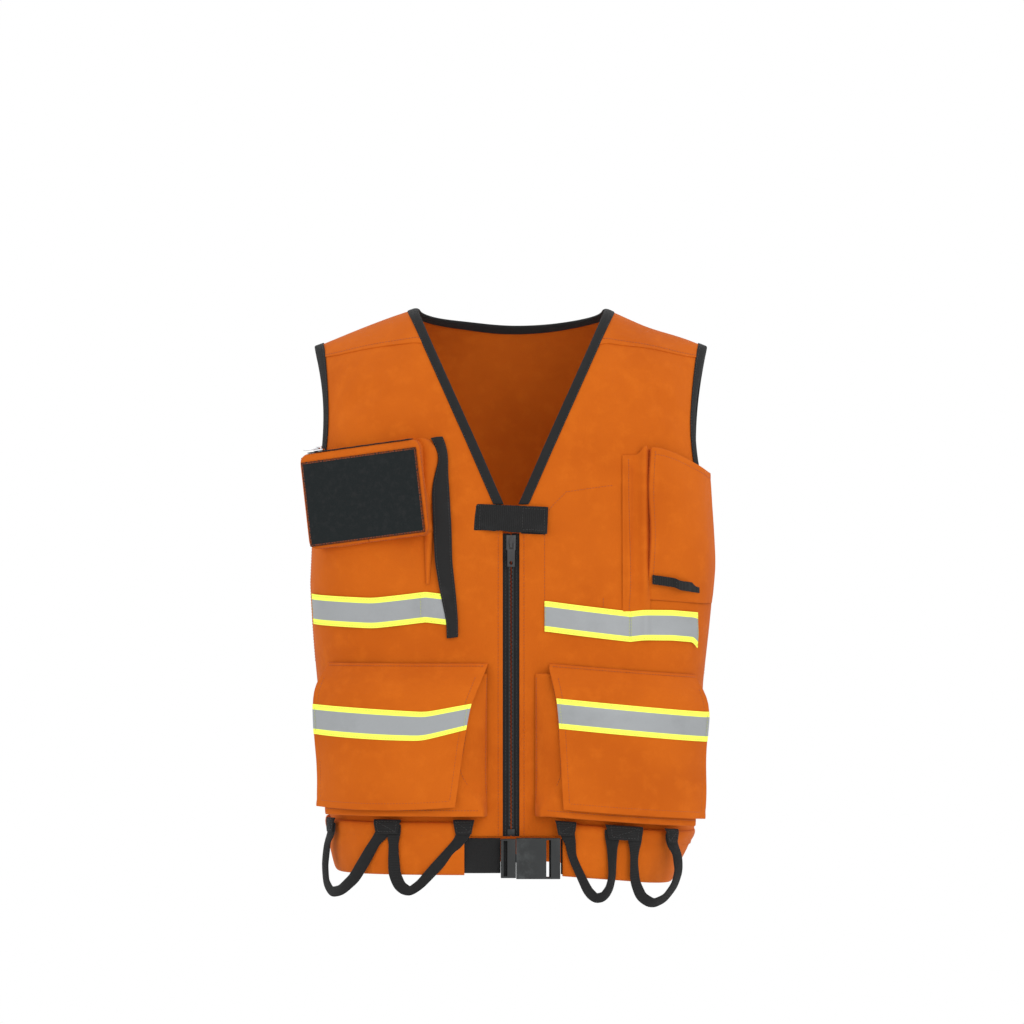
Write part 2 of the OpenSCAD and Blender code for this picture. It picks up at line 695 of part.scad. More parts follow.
// ---- Tool loops ----
loop_off0 = casing_off1 + 0.4;
tack_h = 12;             // height of the sewn patches that hold the loops
tack_z = casing_top_z - tack_h;
// Middle line of each loop: distance round the body from the front, share of the drop
path_left_inner = [[60, 0], [63, 0.1], [65, 0.34], [74, 0.63], [82, 0.87], [90, 0.98],
    [99, 0.94], [105, 0.8], [108, 0.61], [108, 0.3], [108, 0]];
path_left_outer = [[133, 0], [132, 0.35], [133, 0.66], [140, 0.9], [153, 1], [168, 0.9],
    [181, 0.68], [187, 0.45], [185, 0.2], [177, 0]];
path_right_inner = [[126, 0], [126, 0.3], [125, 0.58], [119, 0.76], [109, 0.84], [97, 0.73],
    [84, 0.54], [70, 0.34], [58, 0.16], [50, 0]];
path_right_outer = [[208, 0], [218, 0.18], [226, 0.5], [222, 0.74], [207, 0.88], [190, 0.84],
    [172, 0.66], [160, 0.42], [146, 0.12], [138, 0]];
arc_table = arc_rows(casing_top_z, loop_off0);
// A point on the upright sheet that the loops hang in, at a distance round and a depth down
function hang_pt(length, depth, off) = let (
    p = ring_pt(lookup(length, arc_table), casing_top_z, off))
    [p[0], p[1], tack_z - max(0, depth) - droop(p[0], tack_z)];
function loop_pt(path, i, w, off) = let (
    full = [for (p = path) [p[0], p[1] * loop_drop]],
    d = full[min(len(path) - 1, i + 1)] - full[max(0, i - 1)],
    c = full[i] + [-d[1], d[0]] / norm(d) * strap_w * (w - 0.5))
    hang_pt(c[0], c[1], off);
module tool_loop(path) {
    color(black) sheet([0, 1], [for (i = [0 : len(path) - 1]) i],
        function(w, i, off) loop_pt(path, i, w, off), loop_off0, loop_off0 + strap_t);
}
module tool_loop_left_inner() {
    tool_loop(path_left_inner);
}
module tool_loop_left_outer() {
    tool_loop(path_left_outer);
}
module tool_loop_right_inner() {
    right() tool_loop(path_right_inner);
}
module tool_loop_right_outer() {
    right() tool_loop(path_right_outer);
}
// The sewn patches that hold the loops' ends
module tack(length0, length1) {
    color(black) sheet(cuts(length0, length1, 12), [0, 1], function(length, v, off)
        hang_pt(length, 0, off) + [0, 0, mix(0.4, tack_h, v)], loop_off0, loop_off0 + strap_t);
}
// Where they start and end, as distances round the body from the front
tacks_left = [[48, 68], [101, 140], [168, 184]];
tacks_right = [[40, 60], [118, 146], [200, 216]];
module loop_tab_left() {
    for (ends = tacks_left) tack(ends[0], ends[1]);
}
module loop_tab_right() {
    right() for (ends = tacks_right) tack(ends[0], ends[1]);
}

front_panel_right();
front_panel_left();
back_panel();
shoulder_yoke_right();
shoulder_yoke_left();
neck_binding();
armhole_binding_right();
armhole_binding_left();
zip_tape_right();
zip_tape_left();
zip_teeth_right();
zip_teeth_left();
zip_slider();
zip_pull();
zip_stops();
closure_tab_base();
closure_tab();
closure_hook_patch();
closure_loop_patch();
lower_pocket_right();
lower_pocket_left();
lower_flap_root_right();
lower_flap_root_left();
lower_flap_right();
lower_flap_left();
lower_flap_tape_right();
lower_flap_tape_left();
lower_flap_hook_right();
lower_flap_hook_left();
lower_pocket_loop_right();
lower_pocket_loop_left();
chest_pocket_right();
chest_loop_panel();
chest_zip_tape();
chest_zip_slider();
chest_zip_pull();
chest_gusset_right();
chest_placket();
chest_tape_right();
chest_pocket_left();
chest_gusset_left();
accessory_strap();
chest_tape_left();
inner_pocket_left();
back_tape();
hem_casing_right();
hem_casing_left();
hem_casing_back();
belt_webbing();
buckle_socket();
buckle_plug();
buckle_prong_upper();
buckle_prong_lower();
loop_tab_right();
loop_tab_left();
tool_loop_right_outer();
tool_loop_right_inner();
tool_loop_left_outer();
tool_loop_left_inner();
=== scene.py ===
"""Blaze orange work vest: finished cloth, trims and hardware around the vest's frame."""

import json
import math

import bmesh
import bpy
import numpy as np
from mathutils import Matrix, Vector
from numpy import concatenate, cos, cumsum, exp, interp, linspace, maximum, minimum, radians, sin, where
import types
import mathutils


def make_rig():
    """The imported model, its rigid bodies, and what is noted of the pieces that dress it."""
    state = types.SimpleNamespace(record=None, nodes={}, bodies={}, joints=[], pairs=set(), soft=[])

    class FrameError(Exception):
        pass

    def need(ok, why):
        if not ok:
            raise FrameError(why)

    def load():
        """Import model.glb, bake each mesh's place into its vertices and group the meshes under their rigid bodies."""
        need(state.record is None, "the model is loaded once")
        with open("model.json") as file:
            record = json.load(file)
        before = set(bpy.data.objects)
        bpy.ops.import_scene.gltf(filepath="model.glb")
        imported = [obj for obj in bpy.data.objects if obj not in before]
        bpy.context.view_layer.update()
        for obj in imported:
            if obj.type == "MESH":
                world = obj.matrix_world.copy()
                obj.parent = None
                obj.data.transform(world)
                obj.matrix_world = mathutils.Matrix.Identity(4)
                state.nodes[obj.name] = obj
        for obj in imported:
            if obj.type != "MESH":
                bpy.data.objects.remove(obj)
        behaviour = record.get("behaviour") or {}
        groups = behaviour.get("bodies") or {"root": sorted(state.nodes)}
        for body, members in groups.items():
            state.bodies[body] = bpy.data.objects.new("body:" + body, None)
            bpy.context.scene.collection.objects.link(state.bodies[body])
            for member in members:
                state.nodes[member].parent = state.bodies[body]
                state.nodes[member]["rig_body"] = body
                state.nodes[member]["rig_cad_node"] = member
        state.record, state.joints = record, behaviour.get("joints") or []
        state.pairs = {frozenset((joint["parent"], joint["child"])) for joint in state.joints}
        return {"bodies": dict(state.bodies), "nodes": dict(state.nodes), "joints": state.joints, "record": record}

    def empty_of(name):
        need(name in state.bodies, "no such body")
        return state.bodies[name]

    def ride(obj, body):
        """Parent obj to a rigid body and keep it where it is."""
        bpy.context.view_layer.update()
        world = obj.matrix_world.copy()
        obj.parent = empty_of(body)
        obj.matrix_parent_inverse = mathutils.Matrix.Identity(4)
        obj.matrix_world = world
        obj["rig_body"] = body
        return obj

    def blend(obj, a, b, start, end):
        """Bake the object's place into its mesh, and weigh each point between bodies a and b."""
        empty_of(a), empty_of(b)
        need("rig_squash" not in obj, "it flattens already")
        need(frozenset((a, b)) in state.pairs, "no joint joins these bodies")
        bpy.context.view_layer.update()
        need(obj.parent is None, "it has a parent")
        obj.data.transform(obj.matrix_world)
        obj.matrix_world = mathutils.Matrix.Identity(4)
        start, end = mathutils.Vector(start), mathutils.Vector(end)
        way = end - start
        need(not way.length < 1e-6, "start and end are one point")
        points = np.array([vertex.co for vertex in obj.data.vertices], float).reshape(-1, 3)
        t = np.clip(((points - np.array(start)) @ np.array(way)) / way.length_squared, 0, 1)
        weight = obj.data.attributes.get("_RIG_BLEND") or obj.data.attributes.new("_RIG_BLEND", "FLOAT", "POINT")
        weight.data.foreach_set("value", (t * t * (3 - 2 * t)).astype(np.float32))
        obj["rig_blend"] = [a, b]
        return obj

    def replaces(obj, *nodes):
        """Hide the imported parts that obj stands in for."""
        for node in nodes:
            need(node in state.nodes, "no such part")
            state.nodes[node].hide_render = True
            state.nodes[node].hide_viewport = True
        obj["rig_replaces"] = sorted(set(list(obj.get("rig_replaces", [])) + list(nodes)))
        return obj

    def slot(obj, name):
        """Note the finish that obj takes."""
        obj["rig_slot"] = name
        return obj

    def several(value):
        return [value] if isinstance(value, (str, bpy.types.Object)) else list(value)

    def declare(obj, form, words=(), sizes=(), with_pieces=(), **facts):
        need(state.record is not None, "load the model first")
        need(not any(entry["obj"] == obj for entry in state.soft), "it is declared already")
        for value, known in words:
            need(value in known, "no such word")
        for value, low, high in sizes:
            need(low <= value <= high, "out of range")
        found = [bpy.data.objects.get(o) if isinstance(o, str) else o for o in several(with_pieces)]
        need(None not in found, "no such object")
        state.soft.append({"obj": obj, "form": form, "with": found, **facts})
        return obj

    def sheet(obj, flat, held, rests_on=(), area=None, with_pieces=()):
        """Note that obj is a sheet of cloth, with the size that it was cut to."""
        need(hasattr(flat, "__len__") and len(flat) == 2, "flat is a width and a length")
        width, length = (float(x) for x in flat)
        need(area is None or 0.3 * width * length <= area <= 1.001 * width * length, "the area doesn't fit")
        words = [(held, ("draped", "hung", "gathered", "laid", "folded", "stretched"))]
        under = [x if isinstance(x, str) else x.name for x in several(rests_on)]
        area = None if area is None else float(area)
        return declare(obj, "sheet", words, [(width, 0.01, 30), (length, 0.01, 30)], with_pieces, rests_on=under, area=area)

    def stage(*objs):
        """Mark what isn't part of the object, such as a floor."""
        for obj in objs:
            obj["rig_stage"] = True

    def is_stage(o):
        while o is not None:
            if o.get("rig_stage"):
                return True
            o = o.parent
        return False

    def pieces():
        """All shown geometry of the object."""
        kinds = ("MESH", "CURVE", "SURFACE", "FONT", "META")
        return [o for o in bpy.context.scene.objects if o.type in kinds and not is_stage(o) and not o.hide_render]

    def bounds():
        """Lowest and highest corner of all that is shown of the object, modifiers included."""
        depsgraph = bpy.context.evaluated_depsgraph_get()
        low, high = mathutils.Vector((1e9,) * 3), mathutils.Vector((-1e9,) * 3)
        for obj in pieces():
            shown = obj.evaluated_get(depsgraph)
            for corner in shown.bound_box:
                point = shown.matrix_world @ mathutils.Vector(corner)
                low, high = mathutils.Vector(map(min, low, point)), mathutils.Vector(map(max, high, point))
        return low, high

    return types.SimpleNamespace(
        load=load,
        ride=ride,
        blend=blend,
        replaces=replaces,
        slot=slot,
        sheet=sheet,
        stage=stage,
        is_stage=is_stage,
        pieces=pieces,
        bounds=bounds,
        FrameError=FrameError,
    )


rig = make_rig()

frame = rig.load()
FRAME_BOX = [list(corner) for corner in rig.bounds()]

bl_info = {
    "name": "Work vest",
    "version": (1, 0, 0),
    "blender": (4, 5, 0),
    "location": "View3D > Sidebar > Work vest",
    "description": "Builds the cloth, trims and hardware of a blaze orange work vest",
    "category": "Object",
}

# ---- The body that the cloth lies on, in millimetres and degrees ----
CORNER, TOP_ROUND = 3.2, 0.45
FRONT_D, NECK_X, TIP_X, ZIP_EDGE = 118.0, 104.0, 214.9, 9.0
BACK_D = ([-614, -414, -214], [108, 104, 115])
CHEST_Z, TIP_Z, HEM_Z, CASING_TOP, PANEL_Z = -214.0, -41.0, -614.0, -556.0, -572.0
ARM_R = 0.528 * 199
ARM_C = TIP_Z - 199 + ARM_R
ARM_TURN = 19.0
SEAM_IN, SEAM_OUT = 0.823, 0.937
CLOTH, DROOP, TAPE_HIGH = 1.2, 14, 33
BINDING_WIDE, BINDING_LAP, NAPE_DIP = 9.9, 6.3, 18
NECK_SIDE, NECK_ROUND = 1.2, 3.4
MM = 0.001
SIDES = ((1, "left"), (-1, "right"))


def mix(a, b, t):
    return a + (b - a) * t


def smooth(t):
    t = clamp(t)
    return t * t * (3 - 2 * t)


def bump(t, width):
    return exp(-((t / width) ** 2))


def clamp(t):
    return np.clip(t, 0, 1)


def arch(t):
    """0 at both ends and 1 in the middle."""
    return sin(t * math.pi)


def xyz(x, y, z):
    return np.stack(np.broadcast_arrays(x, y, z), axis=-1)


def half_width(z):
    return interp(z, [-614, -556, -300, -214], [186, 199, 217, 216])


def ring(turn, z, off):
    c, s = cos(radians(turn)), sin(radians(turn))
    a = half_width(z) + off
    b = where(c > 0, FRONT_D, interp(z, *BACK_D)) + off
    r = (np.abs(c / b) ** CORNER + np.abs(s / a) ** CORNER) ** (-1 / CORNER)
    return r * s, -r * c


def shoulder_z(x):
    return TIP_Z * maximum(0, np.abs(x) - NECK_X) / (TIP_X - NECK_X)


def rise(h):
    return clamp((h - CHEST_Z) / (TIP_Z - CHEST_Z))


def rise_h(s):
    return mix(CHEST_Z, TIP_Z, s)


def droop(x, h):
    """The left side hangs lower than the right."""
    return DROOP * clamp((x - 40) / 170) * clamp((-h - 230) / 80)


def ring_out(turn, z, off):
    """The point of the body off outside it, square to its skin."""
    x, y = ring(turn, z, 0.0)
    a = half_width(z)
    b = where(y < 0, FRONT_D, interp(z, *BACK_D))
    nx = np.sign(x) * np.abs(x) ** (CORNER - 1) / a**CORNER
    ny = np.sign(y) * np.abs(y) ** (CORNER - 1) / b**CORNER
    n = maximum(np.hypot(nx, ny), 1e-12)
    return x + nx / n * off, y + ny / n * off


def skin(turn, h, off=0.0, side=1):
    """The point that lies off outside the body, turned from the front, at height h."""
    turn, h, off = np.broadcast_arrays(*(np.asarray(a, float) for a in (turn, h, off)))
    low, s = minimum(h, CHEST_Z), rise(h)
    x, y = ring_out(turn, low, off)
    z = mix(low, shoulder_z(x) + off, s) - droop(x * side, low)
    return xyz(x * side, y * (1 - s * s) ** TOP_ROUND, z)


def turn_at_x(x, z=CHEST_Z):
    share = minimum(0.999, np.abs(x) / half_width(z))
    return np.degrees(np.arctan2(x, FRONT_D * (1 - share**CORNER) ** (1 / CORNER)))


def arc_table(z, off=0.0):
    """Distances round the body from the middle of the front, and their turns."""
    turns = np.arange(0, 123, 1.0)
    x, y = ring(turns, z, off)
    return concatenate([[0], cumsum(np.hypot(np.diff(x), np.diff(y)))]), turns


POCKET_ARC = arc_table(-400.0)
HANG_OFF = 8.2
HANG_ARC = arc_table(CASING_TOP, HANG_OFF)


def turn_round(distance, table=POCKET_ARC):
    return interp(distance, *table)


# ---- Soft waves and creases that every layer shares ----
RNG = np.random.default_rng(11)
WAVES = []
for apart, height in ((260, 1.5), (210, 1.3), (170, 1.1), (130, 0.8), (105, 0.55), (84, 0.4), (70, 0.3)):
    way = RNG.normal(size=3) * (1, 1, 0.7)
    WAVES.append((way / np.linalg.norm(way) * 2 * math.pi / apart, RNG.uniform(0, 6.28), height))
# start (x, z), end (x, z), depth, width; a minus depth is a fold that stands out
CREASES = [
    ((70, -120), (108, -206), 1.5, 9), ((-60, -110), (-92, -150), 1.3, 10),
    ((150, -90), (190, -128), 1.6, 9), ((-140, -86), (-186, -116), 1.5, 9),
    ((40, -262), (96, -300), -1.2, 9), ((-34, -262), (-58, -300), 1.4, 7),
    ((30, -350), (40, -420), 1.2, 6), ((-28, -352), (-34, -430), 1.3, 6),
    ((150, -360), (205, -352), -1.6, 8), ((-196, -362), (-120, -372), -1.5, 8),
    ((60, -372), (140, -366), 1.2, 7), ((-120, -340), (-60, -352), 1.2, 7),
    ((-150, -262), (-104, -290), 1.5, 9), ((-100, -256), (-96, -322), -1.8, 5),
    ((12, -300), (15, -420), 0.8, 3), ((-13, -320), (-14, -480), 0.8, 3),
]


def relief(p):
    x, y, z = p[..., 0], p[..., 1], p[..., 2]
    out = sum(height * sin(p @ wave + phase) for wave, phase, height in WAVES)
    for (x0, z0), (x1, z1), depth, width in CREASES:
        dx, dz = x1 - x0, z1 - z0
        t = ((x - x0) * dx + (z - z0) * dz) / (dx * dx + dz * dz)
        k = clamp(t)
        far = np.hypot(x - x0 - k * dx, z - z0 - k * dz)
        fade = smooth(1.15 - np.abs(t - 0.5) * 1.6)
        out = out - where(y < -30, depth * bump(far, width) * fade, 0)
    calm = where(y > 0, 1, smooth((np.abs(x) - 10) / 24)) * smooth((-z - 4) / 30 + 0.35)
    return out * calm


def lay(turn, h, off=0.0, side=1, wave=1.0):
    """As skin, with the cloth's waves and creases."""
    return skin(turn, h, off + wave * relief(skin(turn, h, 0, side)), side)


def level(z, x):
    """The height above the chest at which the skin reaches z at x."""
    above = CHEST_Z + (TIP_Z - CHEST_Z) * (z - CHEST_Z) / (shoulder_z(x) - CHEST_Z)
    return where(z > CHEST_Z, above, z)


def curve(t, at, values):
    """A smooth curve close to the given points."""
    fine = linspace(at[0], at[-1], 240)
    out = interp(fine, at, values)
    for _ in range(90):
        out[1:-1] = (out[:-2] + 2 * out[1:-1] + out[2:]) / 4
    return interp(t, fine, out)


def lines(length, step=5.0, edge=(1.2, 4.0, 7.5)):
    """Lines across a piece as shares of its length, closer together near both ends."""
    count = max(2, round((length - 2 * edge[-1]) / step) + 1)
    inner = linspace(edge[-1], length - edge[-1], count)
    ends = np.array([0, *edge[:-1]])
    return concatenate([ends, inner, (length - ends)[::-1]]) / length


def sample(at, run, points):
    """The points of a line at the given distances along it."""
    return np.stack([interp(at, run, part) for part in points.T], axis=-1)


def row(v, u0, u1):
    """A line of stitches across a piece."""
    return [(u0, v), (u1, v)]


def column(u, v0, v1):
    """A line of stitches up a piece."""
    return [(u, v0), (u, v1)]


def box(u0, v0, u1, v1):
    """Stitches round a rectangle."""
    return [(u0, v0), (u1, v0), (u1, v1), (u0, v1), (u0, v0)]


TAPE_ROWS = lines(TAPE_HIGH, 4, (0.8, 5.9))
TAPE_EDGES = [row(0.06, 0.01, 0.99), row(0.94, 0.01, 0.99)]


def hem(d, stitch=6.0):
    """A turned edge: thicker at the fold, pulled in along the stitches."""
    return 0.55 * exp(-((d / (stitch - 1)) ** 4)) - 0.4 * bump(d - stitch, 1.4)


# ---- Finishes ----
class Wire:
    """A shader socket that can be used in sums."""

    def __init__(self, look, socket):
        self.look, self.socket = look, socket

    def maths(self, operation, first, second=0.0):
        return self.look.node("ShaderNodeMath", {"operation": operation}, {0: first, 1: second})

    def __add__(self, other):
        return self.maths("ADD", self, other)

    __radd__ = __add__

    def __sub__(self, other):
        return self.maths("SUBTRACT", self, other)

    def __rsub__(self, other):
        return self.maths("SUBTRACT", other, self)

    def __mul__(self, other):
        return self.maths("MULTIPLY", self, other)

    __rmul__ = __mul__

    def __gt__(self, other):
        return self.maths("GREATER_THAN", self, other)

    def __lt__(self, other):
        return self.maths("LESS_THAN", self, other)

    def sine(self):
        return self.maths("SINE", self)

    def between(self, low, high):
        """0 below low, 1 above high."""
        return self.look.node("ShaderNodeMapRange", {"interpolation_type": "SMOOTHSTEP"},
                              {"Value": self, "From Min": low, "From Max": high})


class Look:
    """One material, built from nodes."""

    def __init__(self, name):
        self.name = name
        self.material = bpy.data.materials.new(name)
        self.material.use_nodes = True
        self.tree = self.material.node_tree
        self.tree.nodes.clear()

    def node(self, kind, settings=None, sockets=None, out=0):
        made = self.tree.nodes.new(kind)
        for key, value in (settings or {}).items():
            setattr(made, key, value)
        for key, value in (sockets or {}).items():
            if isinstance(value, Wire):
                self.tree.links.new(value.socket, made.inputs[key])
            else:
                made.inputs[key].default_value = value
        return Wire(self, made.outputs[out]) if out is not None else None

    def uv(self, name="weave"):
        """The two shares of a UV map as wires."""
        place = self.node("ShaderNodeUVMap", {"uv_map": name})
        return [self.node("ShaderNodeSeparateXYZ", {}, {0: place}, out) for out in (0, 1)]

    def noise(self, scale, detail=2.0, rough=0.5):
        place = self.node("ShaderNodeTexCoord", out=3)
        return self.node("ShaderNodeTexNoise", {},
                         {"Vector": place, "Scale": scale, "Detail": detail, "Roughness": rough})

    def blend(self, share, first, second):
        first, second = (v if isinstance(v, Wire) else (*v, 1) for v in (first, second))
        return self.node("ShaderNodeMix", {"data_type": "RGBA"}, {0: share, 6: first, 7: second}, 2)

    def raise_by(self, height, distance, strength=1.0, under=None):
        sockets = {"Height": height, "Distance": distance, "Strength": strength}
        if under:
            sockets["Normal"] = under
        return self.node("ShaderNodeBump", {}, sockets)

    def done(self, **sockets):
        values = {key.replace("_", " "): value for key, value in sockets.items()}
        shader = self.node("ShaderNodeBsdfPrincipled", {}, values)
        self.node("ShaderNodeOutputMaterial", {}, {"Surface": shader}, None)
        LOOKS[self.name] = self.material


LOOKS = {}
FABRICS = {  # the look of each fabric, its slot, and the look of the thread in it
    "cloth": ("orange_twill", "orange_cloth", "thread_orange"),
    "binding": ("binding_tape", "black_binding", "thread_black"),
    "webbing": ("ribbed_webbing", "black_webbing", "thread_black"),
    "loop": ("loop_webbing", "black_webbing", "thread_black"),
    "zip": ("zip_tape_weave", "zip_tape", "thread_black"),
    "tape": ("reflective", "reflective_tape", "thread_glow"),
    "pile": ("pile", "hook_loop", "thread_brown"),
    "pile_panel": ("pile_panel", "hook_loop", "thread_brown"),
}


def cloth_look(name, colour, dark, light, pitch=0.0011, rough=0.86):
    """Coated twill: fine slanting ribs, mottling that is partly random tone and partly painted crease shade, and soft
    dents.
    """
    look = Look(name)
    u, v = look.uv()
    twill = ((u + v * 0.8) * (2 * math.pi / pitch)).sine()
    cross = ((u - v * 1.4) * (2 * math.pi / (pitch * 0.7))).sine()
    broad, mid, fine = look.noise(9, 3), look.noise(55, 4, 0.6), look.noise(900, 2)
    # Broad patches of the shaded orange: partly random tone, partly painted shade that stands for the shade in
    # creases.
    shade = look.blend(broad.between(0.35, 0.7), colour, dark)
    shade = look.blend(mid.between(0.45, 0.75) * 0.45, shade, light)
    shade = look.blend((twill * 0.5 + 0.5) * 0.16, shade, dark)
    shade = look.blend(fine.between(0.4, 0.7) * 0.22, shade, dark)
    soft = look.raise_by(look.noise(38, 3, 0.55), 0.0035, 0.35)
    tiny = look.raise_by(twill * 0.6 + cross * 0.25 + fine * 0.5, 0.00012, 0.5, soft)
    look.done(Base_Color=shade, Roughness=mid * 0.12 + (rough - 0.06), Normal=tiny,
              Specular_IOR_Level=0.12, Sheen_Weight=0.03, Sheen_Roughness=0.5)


def strap_look(name, colour, pale, rib=0.0016, deep=0.0003, across=0, rough=0.8):
    """Woven strap or tape with ribs; across chooses which way the ribs run."""
    look = Look(name)
    way = look.uv()
    ribs = (way[across] * (2 * math.pi / rib)).sine()
    yarn = (way[1 - across] * (2 * math.pi / (rib * 0.6))).sine()
    wear, fuzz = look.noise(45, 4, 0.6), look.noise(1400, 2)
    shade = look.blend((ribs * 0.5 + 0.5) * 0.4, colour, pale)
    shade = look.blend(wear.between(0.5, 0.8) * 0.4, shade, pale)
    shade = look.blend(fuzz.between(0.55, 0.8) * 0.3, shade, pale)
    normal = look.raise_by(ribs + yarn * 0.4 + fuzz * 0.5, deep, 0.8)
    look.done(Base_Color=shade, Roughness=wear * 0.1 + rough, Normal=normal,
              Specular_IOR_Level=0.2, Sheen_Weight=0.06, Sheen_Roughness=0.4)


def pile_look(name, colour, pale, rim=None):
    """Hook or loop pile, with a stitched binding round it where rim is a colour."""
    look = Look(name)
    tufts, clumps = look.noise(2200, 3, 0.7), look.noise(160, 3, 0.6)
    shade = look.blend(tufts.between(0.4, 0.75) * 0.55, colour, pale)
    shade = look.blend(clumps.between(0.45, 0.75) * 0.35, shade, pale)
    height = tufts + clumps * 0.7
    if rim:
        u, v = look.uv("share")
        edge = (u < 0.016) + (u > 0.984) + (v < 0.024) + (v > 0.976)
        patchy = edge.between(0.1, 0.9) * look.noise(420, 2).between(0.35, 0.6)
        shade = look.blend(patchy, shade, rim)
        height = height * (1 - edge * 0.7)
    normal = look.raise_by(height, 0.0006, 0.9)
    look.done(Base_Color=shade, Roughness=0.95, Normal=normal,
              Specular_IOR_Level=0.1, Sheen_Weight=0.08, Sheen_Roughness=0.3)


def tape_look(name, silver, glow, stripe=0.18):
    """Silver tape of tiny glass beads between two glowing cloth edges."""
    look = Look(name)
    u, v = look.uv("share")
    long, high = look.uv()
    edge = ((v < stripe) + (v > 1 - stripe)).between(0.1, 0.9)
    beads, wrinkle, scuff = look.noise(1800, 2), look.noise(60, 3), look.noise(25, 5, 0.65)
    grid = (long * 5200).sine() * (high * 5200).sine()
    shade = look.blend(scuff.between(0.45, 0.8) * 0.5, silver, tuple(c * 0.78 for c in silver))
    shade = look.blend(beads.between(0.4, 0.8) * 0.25, shade, tuple(min(1, c * 1.25) for c in silver))
    rib = ((long * 3900).sine() * 0.5 + 0.5) * 0.12
    glowing = look.blend(rib, glow, tuple(c * 0.7 for c in glow))
    normal = look.raise_by(wrinkle, 0.0016, 0.3)
    normal = look.raise_by(grid * (1 - edge) + beads * 0.6, 0.00008, 0.6, normal)
    # The yellow edges emit a little light: painted glow that makes the fluorescent cloth brighter than lit cloth can
    # be.
    look.done(Base_Color=look.blend(edge, shade, glowing), Normal=normal,
              Roughness=0.46 + edge * 0.35, Metallic=(1 - edge) * 0.3,
              Emission_Color=look.blend(edge, (0, 0, 0), glow),
              Emission_Strength=0.14)


def plain_look(name, colour, pale, rough, metal=0.0, grain=700, deep=0.00006, coat=0.0):
    """Moulded or metal parts: fine grain, and wear along raised edges."""
    look = Look(name)
    fine, wear = look.noise(grain, 3, 0.6), look.noise(90, 5, 0.7)
    point = look.node("ShaderNodeNewGeometry", out=7)
    worn = point.between(0.55, 0.7) * wear.between(0.4, 0.7)
    shade = look.blend(worn * 0.35, look.blend(wear * 0.12, colour, pale), pale)
    normal = look.raise_by(fine, deep, 0.6)
    look.done(Base_Color=shade, Roughness=rough + fine * 0.12, Normal=normal,
              Metallic=metal, Coat_Weight=coat)


def thread_look(name, colour, dark):
    look = Look(name)
    twist = look.noise(2500, 1)
    look.done(Base_Color=look.blend(twist, colour, dark), Roughness=0.6,
              Normal=look.raise_by(twist, 0.0001, 0.5), Sheen_Weight=0.2)


# ---- Making pieces ----
def to_mesh(bm, name):
    mesh = bpy.data.meshes.new(name)
    bm.to_mesh(mesh)
    bm.free()
    return mesh


def link(name, mesh, looks):
    obj = bpy.data.objects.new(name, mesh)
    bpy.context.scene.collection.objects.link(obj)
    for look in looks:
        obj.data.materials.append(LOOKS[look])
    return obj


def settle(obj):
    """The object's mesh becomes what its modifiers make of it."""
    graph = bpy.context.evaluated_depsgraph_get()
    made = bpy.data.meshes.new_from_object(obj.evaluated_get(graph), depsgraph=graph,
                                           preserve_all_data_layers=True)
    obj.modifiers.clear()
    obj.data = made


def stitch_shape():
    bm = bmesh.new()
    bmesh.ops.create_icosphere(bm, subdivisions=1, radius=1)
    return to_mesh(bm, "stitch")


STITCH = stitch_shape()


def stitches(lines_of_points, pitch, size):
    """A mesh of short threads along lines, each line its points and the cloth's normals."""
    shape = np.array([v.co for v in STITCH.vertices])
    faces = np.array([list(f.vertices) for f in STITCH.polygons])
    spots = []
    for points, normals in lines_of_points:
        run = concatenate([[0], cumsum(np.linalg.norm(np.diff(points, axis=0), axis=1))])
        at = np.arange(pitch / 2, run[-1], pitch)
        if len(at) == 0:
            continue
        c, n = sample(at, run, points), sample(at, run, normals)
        t = sample(at + 0.5, run, points) - sample(at - 0.5, run, points)
        t /= np.linalg.norm(t, axis=1)[:, None]
        n -= (n * t).sum(1)[:, None] * t
        n /= np.linalg.norm(n, axis=1)[:, None]
        spots.append((c, t, np.cross(n, t), n))
    if not spots:
        return None
    c, t, s, n = (concatenate(part) for part in zip(*spots))
    length, width, height = size
    verts = (c[:, None] + t[:, None] * shape[None, :, :1] * length / 2
             + s[:, None] * shape[None, :, 1:2] * width / 2
             + n[:, None] * shape[None, :, 2:] * height / 2) * MM
    count = len(c)
    all_faces = (faces[None] + np.arange(count)[:, None, None] * len(shape)).reshape(-1, 3)
    mesh = bpy.data.meshes.new("threads")
    mesh.from_pydata(verts.reshape(-1, 3).tolist(), [], all_faces.tolist())
    return mesh


def outer_line(place, path, lift, side):
    """Points and normals along a path of (u, v) pairs, lift outside the piece."""
    path = np.asarray(path, float)
    steps = linspace(0, len(path) - 1, 40 * (len(path) - 1) + 1)
    u, v = np.clip(sample(steps, range(len(path)), path), 0.002, 0.998).T
    e = 1e-3
    n = np.cross(place(u + e, v) - place(u - e, v), place(u, v + e) - place(u, v - e))
    n = side * n / maximum(1e-9, np.linalg.norm(n, axis=1))[:, None]
    return place(u, v) + n * lift, n


def finish_mesh(obj, threads=None):
    bm = bmesh.new()
    bm.from_mesh(obj.data)
    bmesh.ops.remove_doubles(bm, verts=bm.verts, dist=2e-6)
    bmesh.ops.recalc_face_normals(bm, faces=bm.faces)
    body = len(bm.faces)
    if threads:
        bm.from_mesh(threads)
        bm.faces.ensure_lookup_table()
        for face in bm.faces[body:]:
            face.material_index = 1
    for face in bm.faces:
        face.smooth = True
    bm.to_mesh(obj.data)
    bm.free()


def attach(obj, slot, body, stands_for, bend=None):
    if bend:
        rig.blend(obj, *bend)
    else:
        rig.ride(obj, body)
    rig.replaces(obj, *stands_for.split())
    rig.slot(obj, slot)


